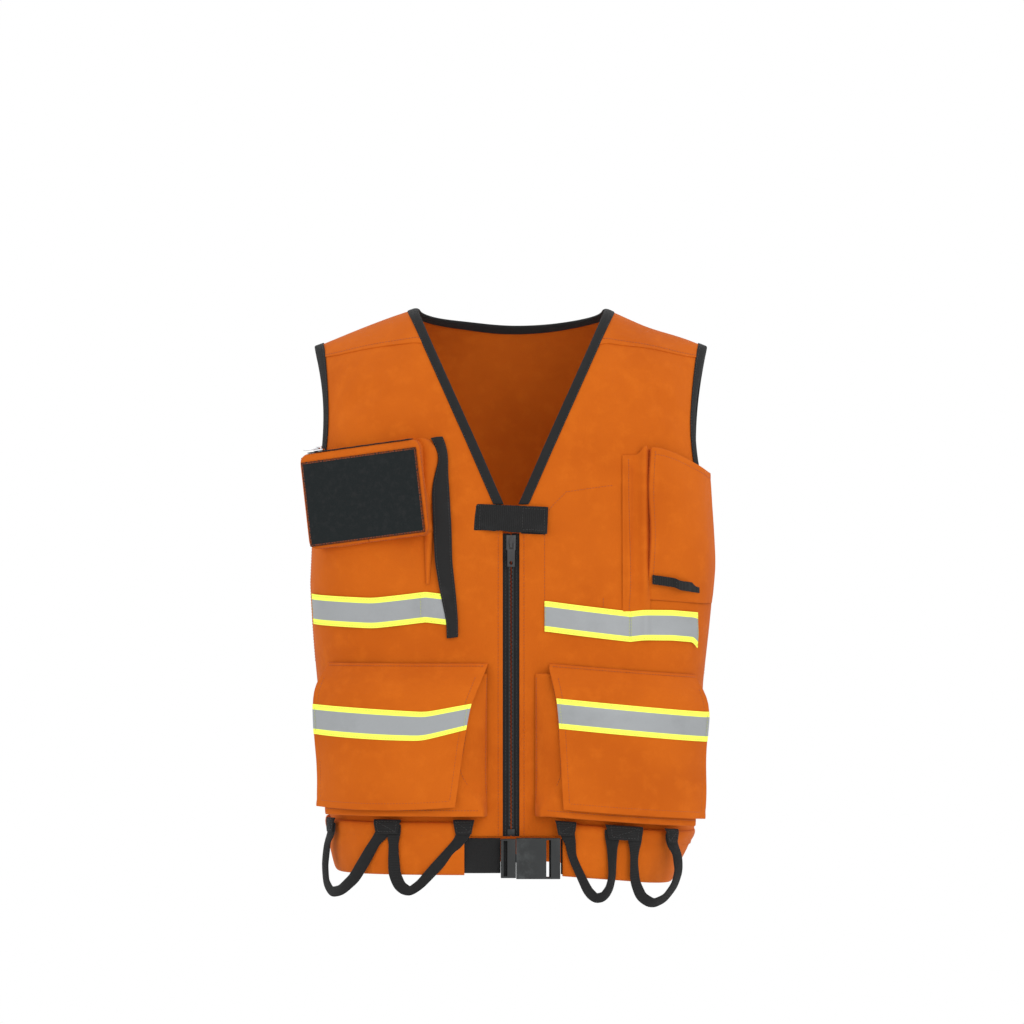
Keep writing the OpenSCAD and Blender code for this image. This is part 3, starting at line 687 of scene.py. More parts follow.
def panel(name, fabric, stands_for, across, up, place, thick, body="root", soft=1, seams=(),
          side=1, bend=None, lies=None):
    """One piece on a grid: place gives its millimetres for shares u and v of its length and height.
    """
    sizes = bpy.context.scene.vest_sizes
    look, slot, thread = FABRICS[fabric]
    u, v = np.meshgrid(across, up)
    p = place(u, v)
    along = concatenate([np.zeros((len(up), 1)),
                            cumsum(np.linalg.norm(np.diff(p, axis=1), axis=2), axis=1)], axis=1)
    high = concatenate([np.zeros((1, len(across))),
                           cumsum(np.linalg.norm(np.diff(p, axis=0), axis=2), axis=0)], axis=0)
    bm = bmesh.new()
    weave, share = bm.loops.layers.uv.new("weave"), bm.loops.layers.uv.new("share")
    bmesh.ops.create_grid(bm, x_segments=len(across) - 1, y_segments=len(up) - 1, size=0.5)
    for vert, at in zip(bm.verts, (p * MM).reshape(-1, 3)):
        vert.co = at
    a, h, su, sv = (m.reshape(-1) for m in (along * MM, high * MM, u, v))
    bm.verts.index_update()
    for face in bm.faces:
        for loop in face.loops:
            k = loop.vert.index
            loop[weave].uv = (a[k], h[k])
            loop[share].uv = (su[k], sv[k])
    area = sum(face.calc_area() for face in bm.faces)
    obj = link(name, to_mesh(bm, name), [look, thread] if seams else [look])
    wall = obj.modifiers.new("thickness", "SOLIDIFY")
    wall.thickness, wall.offset, wall.use_even_offset = thick * MM, 0, False
    if soft:
        round_off = obj.modifiers.new("soft", "SUBSURF")
        round_off.levels = round_off.render_levels = soft
    settle(obj)
    threads = None
    if seams:
        runs = [outer_line(place, seam, thick / 2 + 0.12, side) for seam in seams]
        threads = stitches(runs, sizes.stitch_pitch / MM,
                           (sizes.stitch_length / MM, sizes.thread / MM, sizes.thread / MM * 0.8))
    finish_mesh(obj, threads)
    attach(obj, slot, body, stands_for, bend)
    if lies:
        held, under = lies
        wide, long = float(along[:, -1].max() * MM), float(high[-1].max() * MM)
        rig.sheet(obj, flat=(round(wide, 4), round(long, 4)), held=held, rests_on=[under],
                 area=round(min(area, wide * long), 5))


def hard_part(node, look, slot, body, bevel, segments=3):
    """A copy of a hard part with its edges rounded off."""
    name = node + "_finished"
    bm = bmesh.new()
    bm.from_mesh(bpy.data.objects[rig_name(node)].data)
    bmesh.ops.remove_doubles(bm, verts=bm.verts, dist=1e-6)
    bmesh.ops.dissolve_limit(bm, angle_limit=math.radians(2), verts=bm.verts, edges=bm.edges)
    sharp = [e for e in bm.edges if len(e.link_faces) == 2 and e.calc_face_angle(0) > math.radians(30)]
    bmesh.ops.bevel(bm, geom=sharp, offset=bevel * MM, offset_type="OFFSET", affect="EDGES",
                    segments=segments, profile=0.5, material=-1, clamp_overlap=True)
    for face in bm.faces:
        face.smooth = True
    mesh = to_mesh(bm, name)
    mesh.set_sharp_from_angle(angle=math.radians(40))
    attach(link(name, mesh, [look]), slot, body, node)


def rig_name(node):
    for obj in bpy.context.scene.objects:
        if obj.get("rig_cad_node") == node or obj.name == node:
            return obj.name
    raise RuntimeError("no part named " + node)


# ---- Sizes and colours a maker would change ----
def colour(name, text, value):
    return bpy.props.FloatVectorProperty(name=name, description=text, default=value, size=3,
                                         min=0, max=1, subtype="COLOR")


def length(name, text, value, top=1.0):
    return bpy.props.FloatProperty(name=name, description=text, default=value, min=0, max=top,
                                   unit="LENGTH", subtype="DISTANCE")


class VestSizes(bpy.types.PropertyGroup):
    """Sizes of the sewing"""
    stitch_pitch: length("Stitch pitch", "Distance from one stitch to the next", 0.0033, 0.01)
    stitch_length: length("Stitch length", "Length of one stitch", 0.0027, 0.01)
    thread: length("Thread", "Thickness of the sewing thread", 0.0006, 0.002)
    strap: length("Loop strap", "Thickness of the tool loops' webbing", 0.0016, 0.004)


class VestColours(bpy.types.PropertyGroup):
    """Colours of the cloth and trims"""
    orange: colour("Orange", "Shell cloth", (0.60, 0.125, 0.006))
    # The shaded orange: a darker copy of the shell cloth, partly random tone and partly painted shade of creases.
    orange_dark: colour("Orange, shaded", "Shell cloth where it is worn or damp", (0.52, 0.100, 0.004))
    orange_light: colour("Orange, pale", "Shell cloth where it has faded", (0.68, 0.155, 0.010))
    black: colour("Black", "Binding and webbing", (0.014, 0.014, 0.014))
    black_pale: colour("Black, faded", "Binding and webbing where they rub", (0.034, 0.034, 0.035))
    pile: colour("Pile", "Hook and loop", (0.014, 0.018, 0.019))
    silver: colour("Silver", "Reflective tape", (0.33, 0.345, 0.355))
    # The edge colour also feeds the tape's emission, a painted glow.
    glow: colour("Glowing edge", "Edges of the reflective tape", (0.90, 1.0, 0.10))
    plastic: colour("Plastic", "Buckle", (0.007, 0.0085, 0.009))
    metal: colour("Metal", "Bright slider", (0.62, 0.62, 0.64))


class VestStage(bpy.types.PropertyGroup):
    """Camera and light"""
    lens: bpy.props.FloatProperty(name="Lens", description="Focal length in millimetres",
                                  default=200, min=20, max=400)
    distance: length("Distance", "From the camera to the vest", 6.19, 30)
    height: bpy.props.FloatProperty(name="Height", description="Height of the camera",
                                    default=-0.222, unit="LENGTH")
    key: bpy.props.FloatProperty(name="Key light", description="Power of the main light",
                                 default=20, min=0, unit="POWER")
    fill: bpy.props.FloatProperty(name="Sky", description="Strength of the white surroundings",
                                  default=1.0, min=0)


class VestOperator:
    """What the operators share: each one makes its own pieces."""
    bl_options = {"REGISTER", "UNDO"}

    def execute(self, context):
        self.make(context.scene)
        return {"FINISHED"}


class VEST_OT_finishes(VestOperator, bpy.types.Operator):
    """Make the materials"""
    bl_idname = "vest.finishes"
    bl_label = "Finishes"

    def make(self, scene):
        c = scene.vest_colours
        orange, dark, light, black, faded, pile, silver, glow, plastic, metal = (tuple(value) for value in (
            c.orange, c.orange_dark, c.orange_light, c.black, c.black_pale, c.pile, c.silver, c.glow,
            c.plastic, c.metal))
        cloth_look("orange_twill", orange, dark, light)
        for name, rib, deep, across in (("binding_tape", 0.0011, 0.00012, 0),
                                        ("ribbed_webbing", 0.0021, 0.0004, 0),
                                        ("loop_webbing", 0.0018, 0.0003, 1),
                                        ("zip_tape_weave", 0.0012, 0.00015, 1)):
            strap_look(name, black, faded, rib, deep, across)
        pile_look("pile", pile, faded)
        pile_look("pile_panel", pile, faded, (0.16, 0.035, 0.008))
        tape_look("reflective", silver, glow)
        plain_look("zip_teeth_plastic", plastic, (0.07, 0.07, 0.07), 0.35, grain=300)
        plain_look("enamel", (0.012, 0.012, 0.013), (0.10, 0.10, 0.10), 0.26, coat=0.4)
        plain_look("plated", metal, (0.9, 0.9, 0.9), 0.18, 1.0, grain=250)
        plain_look("buckle_plastic", plastic, (0.09, 0.10, 0.10), 0.36, grain=1500)
        for name, colour, shade in (("orange", (0.36, 0.06, 0.006), (0.24, 0.035, 0.004)),
                                    ("black", (0.03, 0.03, 0.03), (0.012, 0.012, 0.012)),
                                    ("brown", (0.30, 0.07, 0.015), (0.16, 0.03, 0.008)),
                                    ("glow", (0.62, 0.70, 0.10), (0.40, 0.46, 0.05))):
            thread_look("thread_" + name, colour, shade)


# ---- Shell ----
def seam_h(w):
    return rise_h(mix(SEAM_IN, SEAM_OUT, w))


def row_h(r, top):
    return where(r <= ARM_C, r, mix(ARM_C, top, (r - ARM_C) / (TIP_Z - ARM_C)))


def front_in(h):
    return turn_at_x(mix(ZIP_EDGE, NECK_X, rise(h)), minimum(h, CHEST_Z))


def arm_out(h):
    return 90 - ARM_TURN * np.sqrt(maximum(0, 1 - ((h - ARM_C) / ARM_R) ** 2))


def front_at(w, v, side, off=0.6):
    r = mix(PANEL_Z, TIP_Z, v)
    turn = mix(front_in(row_h(r, seam_h(0))), arm_out(row_h(r, seam_h(1))), w)
    edge = hem(w * 190, 3.2) * 0.6 * (r < CHEST_Z)
    return lay(turn, row_h(r, seam_h(w)), off + edge, side)


def yoke_at(w, t, side):
    t = mix(-0.05, 1, t)
    s = sin(radians(mix(np.degrees(np.arcsin(mix(SEAM_IN, SEAM_OUT, w) + 0.002)), 90, t)))
    h = rise_h(s)
    off = 0.6 + 1.0 * (1 - smooth((t + 0.02) / 0.3)) - 0.4 * bump(t - 0.07, 0.03)
    return lay(mix(front_in(h), arm_out(h), w), h, off, side)


def back_at(w, v):
    r = where(v < 0.72, mix(PANEL_Z, ARM_C, v / 0.72),
                 mix(ARM_C, TIP_Z, sin(radians(90 * clamp((v - 0.72) / 0.28)))))
    half = arm_out(TIP_Z)
    x, _ = ring(mix(180 - half, 180 + half, w), CHEST_Z, 0)
    dip = np.sqrt(maximum(0, 1 - (x / NECK_X) ** 2))
    top = rise_h(where(np.abs(x) >= NECK_X, 1, 1 - NAPE_DIP / 214 * dip))
    return lay(mix(180 - arm_out(r), 180 + arm_out(r), w), row_h(r, top), 0.6)


INNER_POCKET_ROWS = (  # (x, z) of the stitches that show where the inner pocket is
    ((40, -318), (40, -226)), ((44, -226), (69, -203), (122, -197)), ((98, -326), (98, -310)))


class VEST_OT_shell(VestOperator, bpy.types.Operator):
    """Make the fronts, the yokes and the back"""
    bl_idname = "vest.shell"
    bl_label = "Shell"

    def make(self, scene):
        for side, hand in SIDES:
            seams = [column(0.028, 0.002, 0.66), column(0.95, 0.35, 0.6)]
            if side > 0:
                seams += [[((x - ZIP_EDGE) / 209, (z - PANEL_Z) / (TIP_Z - PANEL_Z)) for x, z in run]
                          for run in INNER_POCKET_ROWS]
            panel("front_cloth_" + hand, "cloth", "front_panel_" + hand, lines(200, 5, (1, 3.2, 6)),
                  lines(560), lambda u, v: front_at(u, v, side), CLOTH, soft=0, seams=seams,
                  side=side, lies=("hung", "yoke_cloth_" + hand))
            panel("yoke_cloth_" + hand, "cloth", "shoulder_yoke_" + hand, lines(112), lines(70, 4),
                  lambda u, v: yoke_at(u, v, side), CLOTH, soft=0, side=side,
                  seams=[row(0.085, 0.01, 0.99)], lies=("hung", "back_cloth"))
        panel("back_cloth", "cloth", "back_panel", lines(560, 6), lines(600), back_at, CLOTH, soft=0,
              seams=[column(0.02, 0.30, 0.55), column(0.98, 0.30, 0.55), row(0.93, 0.13, 0.87)],
              lies=("hung", "neck_trim"))


# ---- Bindings ----
# round the folded binding: share of its width, distance outside the body
FOLD = np.array([[1.02, -1.0], [0.55, -1.1], [0.12, -1.0], [-0.10, -0.3], [-0.12, 1.3],
                 [0.10, 2.3], [0.40, 2.6], [0.80, 2.5], [1.02, 2.1]])


def fold(u):
    at = linspace(0, 1, len(FOLD))
    return interp(u, at, FOLD[:, 0]), interp(u, at, FOLD[:, 1])


def neck_at(u, v):
    w, off = fold(u)
    q = v * NECK_ROUND
    first = q < NECK_ROUND / 2
    vee = clamp(where(first, q, NECK_ROUND - q) / NECK_SIDE)
    turn = turn_at_x(mix(ZIP_EDGE, NECK_X, vee) + BINDING_WIDE * w)
    left, right = (lay(turn, rise_h(vee), off, side) for side in (1, -1))
    front = where(first[..., None], left, right)
    e = radians(clamp(q - NECK_SIDE) * 180)
    x = (NECK_X + BINDING_WIDE * w) * cos(e)
    s = 1 - (NAPE_DIP + BINDING_LAP * w) / 214 * sin(e)
    nape = lay(180 - turn_at_x(x), rise_h(s), off)
    return where(((q > NECK_SIDE) & (q < NECK_ROUND - NECK_SIDE))[..., None], nape, front)


def armhole_at(u, v, side):
    w, off = fold(u)
    lift = math.degrees(math.asin((TIP_Z - ARM_C) / ARM_R))
    e = radians(mix(-lift, 180 + lift, v))
    spread = 2.5 * np.abs(cos(e)) + 10 * maximum(0, -sin(e)) ** 3
    turn = 90 - (ARM_TURN * np.abs(cos(e)) + spread * w) * np.sign(cos(e))
    h = minimum(TIP_Z, ARM_C - (ARM_R + 8 * w) * sin(e))
    return lay(turn, h, off, side)


class VEST_OT_bindings(VestOperator, bpy.types.Operator):
    """Make the black bindings of the neck and armholes"""
    bl_idname = "vest.bindings"
    bl_label = "Bindings"

    def make(self, scene):
        across = linspace(0, 1, len(FOLD))
        joins = np.array([NECK_SIDE, NECK_ROUND - NECK_SIDE]) / NECK_ROUND
        panel("neck_trim", "binding", "neck_binding", across,
              np.unique(concatenate([linspace(0, 1, 150), joins])), neck_at, 0.9,
              seams=[column(0.93, 0.0, 1.0)])
        ends = 0.5 - 0.5 * cos(linspace(0, math.pi, 110))
        for side, hand in SIDES:
            panel("armhole_trim_" + hand, "binding", "armhole_binding_" + hand, across,
                  mix(ends, linspace(0, 1, 110), 0.5), lambda u, v: armhole_at(u, v, side), 0.9,
                  side=side, seams=[column(0.93, 0.01, 0.99)])


# ---- Main zip and closure tab ----
TAB_X, TAB_Z, TAB_TURN, TAB_LONG, TAB_HIGH = -41.0, -242.0, math.radians(2.5), 80.0, 29.0


def tab_frame(x, y, z):
    c, s = math.cos(TAB_TURN), math.sin(TAB_TURN)
    return xyz(TAB_X + x * c + z * s, y, TAB_Z - x * s + z * c)


def tab_at(u, v):
    x, z = u * TAB_LONG, v * TAB_HIGH
    y = interp(x, [0, 3, 9, 16, 80], [-120.4, -121.2, -122.3, -122.6, -122.5])
    lift = (1 - v) ** 3 * (1.6 * bump(x - 19, 7) + 1.9 * bump(x - 69, 8))
    y = y - lift - 0.35 * sin(x / 9 + 1) * sin(z / 11) - 0.5 * bump(x - 40, 10)
    z = z + (1 - v) * (0.8 * sin(x / 8.0) + 1.6 * smooth((x - 22) / 6) * (1 - smooth((x - 30) / 20)))
    return tab_frame(x, y, z)


class VEST_OT_front_zip(VestOperator, bpy.types.Operator):
    """Make the main zip and the closure tab over it"""
    bl_idname = "vest.front_zip"
    bl_label = "Zip and tab"

    def make(self, scene):
        teeth_look = LOOKS["zip_teeth_plastic"]
        for side, hand in SIDES:
            panel("zip_band_" + hand, "zip", "zip_tape_" + hand, lines(14.6, 2, (0.6, 1.2)), lines(327, 6),
                  lambda u, v: xyz(side * mix(0.4, 15, u), -117.2 - 0.12 * sin(v * 60),
                                   mix(PANEL_Z, -245, v)),
                  1.0, side=side, seams=[column(0.38, 0.004, 0.996)])
            teeth = bpy.data.objects[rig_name("zip_teeth_" + hand)]
            if not teeth.material_slots:
                teeth.data.materials.append(teeth_look)
            for slot in teeth.material_slots:
                slot.material = teeth_look
        hard_part("zip_slider", "enamel", "slider_metal", "zip_slider_body", 0.5)
        hard_part("zip_pull", "enamel", "slider_metal", "zip_pull_body", 0.3, 2)
        hard_part("zip_stops", "zip_teeth_plastic", "zip_teeth", "root", 0.4, 2)
        fixed, free = (tuple(tab_frame(x, 0, 15) * MM) for x in (8.0, 12.0))
        panel("closure_flap", "webbing", "closure_tab_base closure_tab", lines(80, 2.5), lines(29, 2.5),
              tab_at, 1.4, bend=("root", "closure_tab_body", fixed, free),
              seams=[box(0.03, 0.07, 0.085, 0.93), box(0.66, 0.1, 0.955, 0.9)])
        for name, node, y, low, high, body in (
                ("closure_hooks", "closure_hook_patch", -121.3, 2, 25, "closure_tab_body"),
                ("closure_pile", "closure_loop_patch", -120.0, -1, 21, "root")):
            panel(name, "pile", node, lines(26, 3, (0.5, 1.5)), lines(high, 3, (0.5, 1.5)),
                  lambda u, v: tab_frame(52 + u * 26, y, low + v * high), 0.9, body)


# ---- Lower pockets ----
BAG_Z, BAG_TOP, FLAP_TOP = -550.0, -396.0, -394.0
TURN_A, TURN_B = turn_round(26.0), turn_round(202.0)
BAG_EDGE = {  # height, distance round of the front panel's inner corner
    1: ([-556, -548, -538, -524, -505, -480, -454, -421, -402], [31, 33, 39, 50, 57, 56, 54, 50, 46]),
    -1: ([-556, -546, -534, -518, -500, -473, -429, -402], [29, 31, 36, 50, 59, 53, 46, 34]),
}
BAG_WALL, BAG_FRONT = 24.0, 170
BAG_LONG = 2 * BAG_WALL + BAG_FRONT


def bag_at(u, v, side):
    """A strip folded into a U, with its bottom turned under and a slanting wall near the zip."""
    d = u * BAG_LONG
    inner = clamp(d / BAG_WALL)
    outer = clamp((BAG_LONG - d) / BAG_WALL)
    share = clamp((d - BAG_WALL) / BAG_FRONT)
    under, up = clamp(v / 0.12), clamp((v - 0.12) / 0.88)
    z = mix(BAG_Z + 0.8, BAG_TOP, up)
    corner = curve(z, *BAG_EDGE[side])
    deep = interp(z, [-440, -426, -418, -410, -402, -396], [21.2, 19.0, 14.6, 10, 6.6, 4.6])
    tuck = bump(z + 519, 11) * inner * (1 - smooth((d - 14) / 26))
    puff = bump(z + 543, 9) * arch(inner)
    turn = turn_round(where(d < BAG_WALL, mix(26.0, corner, inner ** 1.3), mix(corner, 202, share)))
    out = minimum(where(d < BAG_WALL, inner ** 0.75, 1), outer ** 0.8)
    off = mix(2.7, deep, minimum(out, np.sqrt(under)))
    off = off - 7 * tuck + 4.5 * puff + 0.8 * sin(share * 15 + z / 27) * (share > 0) * (share < 1)
    off = off + 0.9 * sin(z / 10.5 + 3 * inner) * arch(inner)
    return lay(turn, z + 2.5 * tuck, np.clip(off, 2.4, 21.3), side, 0.7)


# distance down the flap, drop below its top, distance outside the body
FLAP_DROP = np.array([[0, 9.0, 2.9], [7, 4.0, 6.6], [14, -1.5, 11.0], [22, -8.0, 15.8], [30, -15.0, 20.0],
                      [38, -22.5, 23.2], [46, -30.5, 25.0], [54, -38.5, 25.85], [163, -147, 25.85]])
FLAP_LONG = 163.0
FLAP_EDGE = {  # height, distance round of the inner edge
    1: ([-560, -542, -454, -421, -400, -392], [57, 55.5, 50.5, 47.5, 43, 41]),
    -1: ([-560, -541, -473, -429, -397, -385], [60.5, 59, 50, 42, 29, 24.5]),
}


def flap_at(u, v, side, off=0.0):
    d = v * FLAP_LONG
    z = FLAP_TOP + interp(d, FLAP_DROP[:, 0], FLAP_DROP[:, 1])
    out = interp(d, FLAP_DROP[:, 0], FLAP_DROP[:, 2])
    start = curve(z, *FLAP_EDGE[side])
    turn = turn_round(mix(start, 208.0, u))
    low = smooth((v - 0.25) / 0.6)
    if side < 0:
        z = z - low * (2.2 * arch(u) - 1.6 * (1 - u) ** 4)
    round_edge = minimum(u * 150, (1 - u) * 150)
    end = FLAP_LONG - d
    raised = hem(round_edge, 6) * smooth((d - 10) / 20) + hem(end, 7)
    bulge = low * (1.6 * arch(u) + 0.8 * sin(u * 9.5 + side * 2 + v * 3))
    curl = 1.6 * bump(round_edge, 14) * sin(v * 8 + side) * low
    slack = -3.0 * (1 - smooth(u * 9)) * bump(v - 0.33, 0.13)
    ridge = 0.9 * bump(d - 5, 2.5) - 0.7 * bump(d - 10, 2.2)
    return lay(turn, z, maximum(out + raised + bulge + curl + slack + ridge, minimum(out, 24.9))
               + off, side, 0.7)


TAPE_TOP = {1: ([0, 1], [-421.5, -424.5]), -1: ([0, 0.28, 0.6, 1], [-428, -437, -434, -430])}


def flap_share(z):
    """The share down the flap at height z."""
    return interp(FLAP_TOP - z, -FLAP_DROP[:, 1], FLAP_DROP[:, 0]) / FLAP_LONG


def flap_tape_at(u, v, side):
    top = curve(u, *TAPE_TOP[side])
    high = mix(32.5, 28.5 if side < 0 else 32.5, (1 - u) ** 2)
    z = top - high * (1 - v)
    return flap_at(mix(0.004, 0.996, u), flap_share(z), side, 1.25)


class VEST_OT_lower_pockets(VestOperator, bpy.types.Operator):
    """Make the two lower pockets with their flaps and tapes"""
    bl_idname = "vest.lower_pockets"
    bl_label = "Lower pockets"

    def make(self, scene):
        across = concatenate([linspace(0, BAG_WALL, 10), linspace(27, 191, 38),
                                 linspace(194, BAG_LONG, 9)]) / BAG_LONG
        up = concatenate([linspace(0, 0.12, 7), linspace(0.14, 0.42, 16), linspace(0.45, 1, 22)])
        down = np.unique(concatenate([FLAP_DROP[:, 0] / FLAP_LONG, lines(FLAP_LONG, 4.5)[3:]]))
        for (side, hand), hinge in zip(SIDES, (-0.4008, -0.394)):
            flap, flap_body, front = f"pocket_flap_{hand}", f"lower_flap_{hand}_body", "front_cloth_" + hand
            panel("pocket_bag_" + hand, "cloth", "lower_pocket_" + hand, across, up,
                  lambda u, v: bag_at(u, v, side), CLOTH, side=side, lies=("folded", front),
                  seams=[column(0.014, 0.2, 0.97), column(0.10, 0.3, 0.97),
                         row(0.975, 0.12, 0.9), row(0.155, 0.12, 0.9)])
            panel(flap, "cloth", f"lower_flap_root_{hand} lower_flap_{hand}", lines(170, 4.5), down,
                  lambda u, v: flap_at(u, v, side), 1.3, side=-side, lies=("hung", front),
                  bend=("root", flap_body, (0, 0, hinge + 0.010), (0, 0, hinge - 0.006)),
                  seams=[row(0.03, 0.02, 0.98),
                         [(0.045, 0.12), (0.045, 0.955), (0.96, 0.955), (0.96, 0.12)]])
            panel("flap_tape_" + hand, "tape", "lower_flap_tape_" + hand, lines(158, 4.5), TAPE_ROWS,
                  lambda u, v: flap_tape_at(u, v, side), 0.7, flap_body, side=side, lies=("laid", flap),
                  seams=[*TAPE_EDGES, column(0.02, 0.1, 0.9), column(0.98, 0.1, 0.9)])
            for node, off, body in (("lower_flap_hook_", 24.1, flap_body),
                                    ("lower_pocket_loop_", 22.8, "root")):
                for k, share in enumerate((0.22, 0.75)):
                    middle = mix(TURN_A, TURN_B, share)
                    start = max(middle - 6, turn_round(63.0))
                    panel(f"{node}{hand}_strip_{k + 1}", "pile", node + hand, lines(30, 5, (0.6, 2)),
                          lines(16, 4, (0.6, 2)), lambda u, v: lay(
                              mix(start, middle + 6, u), -534.0 + 16.0 * v, off, side, 0.7),
                          0.8, body, side=side)


# ---- Right chest pocket ----
BADGE = (-159.5, -116.0, -206.0)
BADGE_TILT, BADGE_TURN = math.radians(-7), math.radians(-22)


def badge_frame(x, y, z):
    c, s = math.cos(BADGE_TILT), math.sin(BADGE_TILT)
    x, z = x * c + z * s, -x * s + z * c
    c, s = math.cos(BADGE_TURN), math.sin(BADGE_TURN)
    return xyz(BADGE[0] + x * c - y * s, BADGE[1] + x * s + y * c, BADGE[2] + z)


def outside(p, off):
    """Above 0 outside the body's front, below 0 inside it."""
    x, y, z = p[..., 0], p[..., 1], p[..., 2]
    low = minimum(z, CHEST_Z)
    s = np.clip((z - CHEST_Z) / (shoulder_z(x) + off - CHEST_Z), 0, 0.999)
    b = (FRONT_D + off) * (1 - s * s) ** TOP_ROUND
    return (np.abs(x) / (half_width(low) + off)) ** CORNER + (np.abs(y) / b) ** CORNER - 1


def wall_depth(x, z, off):
    """How deep a wall at (x, z) of the pocket's front goes before it meets the body."""
    lo, hi = np.zeros_like(x), np.full_like(x, 62.0)
    for _ in range(22):
        mid = (lo + hi) / 2
        within = outside(badge_frame(x, mid, z), off) < 0
        lo, hi = where(within, lo, mid), where(within, mid, hi)
    return hi


def pocket_outline(a, wide, low, top, r):
    """A rectangle with round corners, by share a of its outline, from the middle of the foot."""
    flat_x, flat_z, bend = 2 * (wide - r), top - low - 2 * r, r * math.pi / 2
    marks = cumsum([0, flat_x / 2, bend, flat_z, bend, flat_x, bend, flat_z, bend, flat_x / 2])
    d = (a % 1.0) * marks[-1]
    x = interp(d, marks, [0, wide - r, wide, wide, wide - r, -(wide - r), -wide, -wide, -(wide - r), 0])
    z = interp(d, marks, [low, low, low + r, top - r, top, top, top - r, low + r, low, low])
    return x, z


def pocket_at(u, v):
    """The front behind the pile panel, a rim that slopes back to the zip, and walls to the body."""
    rim_x, rim_z = pocket_outline(u, 68.9, -47.2, 47.4, 2.5)
    far_x, far_z = pocket_outline(u, 70.2, -48.4, 54.2, 5.0)
    grown = smooth((v - 0.45) / 0.1)
    shrink = where(v < 0.45, 0.02 + 0.98 * v / 0.45, 1)
    x, z = mix(rim_x, far_x, grown) * shrink, mix(rim_z, far_z, grown) * shrink
    depth = maximum(wall_depth(far_x, far_z, 1.9), 4)
    y = where(v < 0.45, 0.9, where(v < 0.55, mix(0.9, 3.4, (v - 0.45) / 0.1),
                                        mix(3.4, depth, clamp((v - 0.55) / 0.45))))
    belly = arch(smooth((v - 0.5) / 0.5))
    crumple = belly * (1.1 * sin(u * 31) + 0.8 * sin(u * 57 + 2))
    pinch = 3.0 * belly * (far_x > 60)
    side_wall, top = np.abs(far_x) > 60, far_z > 50
    return badge_frame(x - pinch + 0.5 * crumple * side_wall, y,
                       z + crumple * where(side_wall | top, 0.15, 0.8))


PLACKET_Z = [-357, -337, -308, -275, -242, -198, -181.5, -165, -154, -142]
PLACKET_OUT = [69.3, 69.9, 76.2, 81.7, 83, 84.7, 82, 76.2, 79.8, 86.5]
PLACKET_IN = [57.2, 57.2, 59.7, 63.3, 63.8, 66.3, 67.7, 67.7, 68.8, 73.7]


def placket_at(u, v):
    z = mix(PLACKET_Z[0], PLACKET_Z[-1], v)
    x = mix(curve(z, PLACKET_Z, PLACKET_IN), curve(z, PLACKET_Z, PLACKET_OUT), u)
    lift = 3.4 + 1.6 * arch(u) + 4.5 * bump(z + 225, 60) * u + 0.8 * sin(z / 17.0) * (u - 0.3)
    return lay(turn_at_x(x), level(z - 1.5 * u, x), lift, -1)


def chest_gusset_at(u, v):
    z = mix(-300, -146, v)
    wide = curve(z, [-300, -256, -242, -200, -163, -152, -146], [3, 8, 10, 14, 24, 22, 15])
    x = curve(z, [-300, -242, -200, -163, -146], [91, 93, 97, 101, 103]) - wide * (1 - u)
    lift = 2.4 + (3.4 + 4.6 * smooth((z + 230) / 60)) * arch(u) ** 0.8
    lift = lift + 0.7 * sin(z / 11.0) * arch(u)
    return lay(turn_at_x(x), level(z, x), lift, -1)


class VEST_OT_right_chest(VestOperator, bpy.types.Operator):
    """Make the right chest pocket with its pile panel, zip, gusset and placket"""
    bl_idname = "vest.right_chest"
    bl_label = "Right chest pocket"

    def make(self, scene):
        rings = concatenate([linspace(0, 0.40, 4), [0.43, 0.45], linspace(0.47, 1, 16)])
        panel("badge_pocket", "cloth", "chest_pocket_right", linspace(0, 1, 121), rings, pocket_at,
              CLOTH, side=-1, seams=[row(0.56, 0.0, 0.999)], lies=("folded", "front_cloth_right"))
        panel("badge_pile", "pile_panel", "chest_loop_panel", lines(136, 4, (0.8, 2.5)),
              lines(92, 4, (0.8, 2.5)), lambda u, v: badge_frame(
                  mix(-68, 68, u), -0.8 - 0.3 * sin(u * 9) * sin(v * 7), mix(-46, 46, v)),
              1.5, seams=[box(0.012, 0.018, 0.988, 0.982)])
        for k, (y0, y1) in enumerate(((2.2, 5.8), (7.2, 12.2))):
            panel(f"badge_zip_band_{k + 1}", "zip", "chest_zip_tape", lines(122, 4),
                  lines(4.8, 1.2, (0.4, 0.8)), lambda u, v: badge_frame(
                      mix(-61, 61, u), mix(y0, y1, v), 55.6 + 0.2 * sin(u * 40)), 0.9)
        hard_part("chest_zip_slider", "plated", "bright_metal", "chest_zip_slider_body", 0.4)
        hard_part("chest_zip_pull", "plated", "bright_metal", "chest_zip_pull_body", 0.3, 2)
        panel("chest_gusset_cloth", "cloth", "chest_gusset_right", linspace(0, 1, 12), lines(161, 4),
              chest_gusset_at, CLOTH, side=-1, lies=("gathered", "front_cloth_right"))
        panel("placket_trim", "binding", "chest_placket", lines(18, 3, (0.8, 2)), lines(218, 4),
              placket_at, 1.3, side=-1, seams=[column(0.12, 0.01, 0.99), column(0.88, 0.01, 0.99)])


# ---- Left chest pocket ----
RADIO_A, RADIO_B = turn_at_x(147.5), 77.0
RADIO_LOW, RADIO_WALL, RADIO_LONG = -308.0, 11, 118


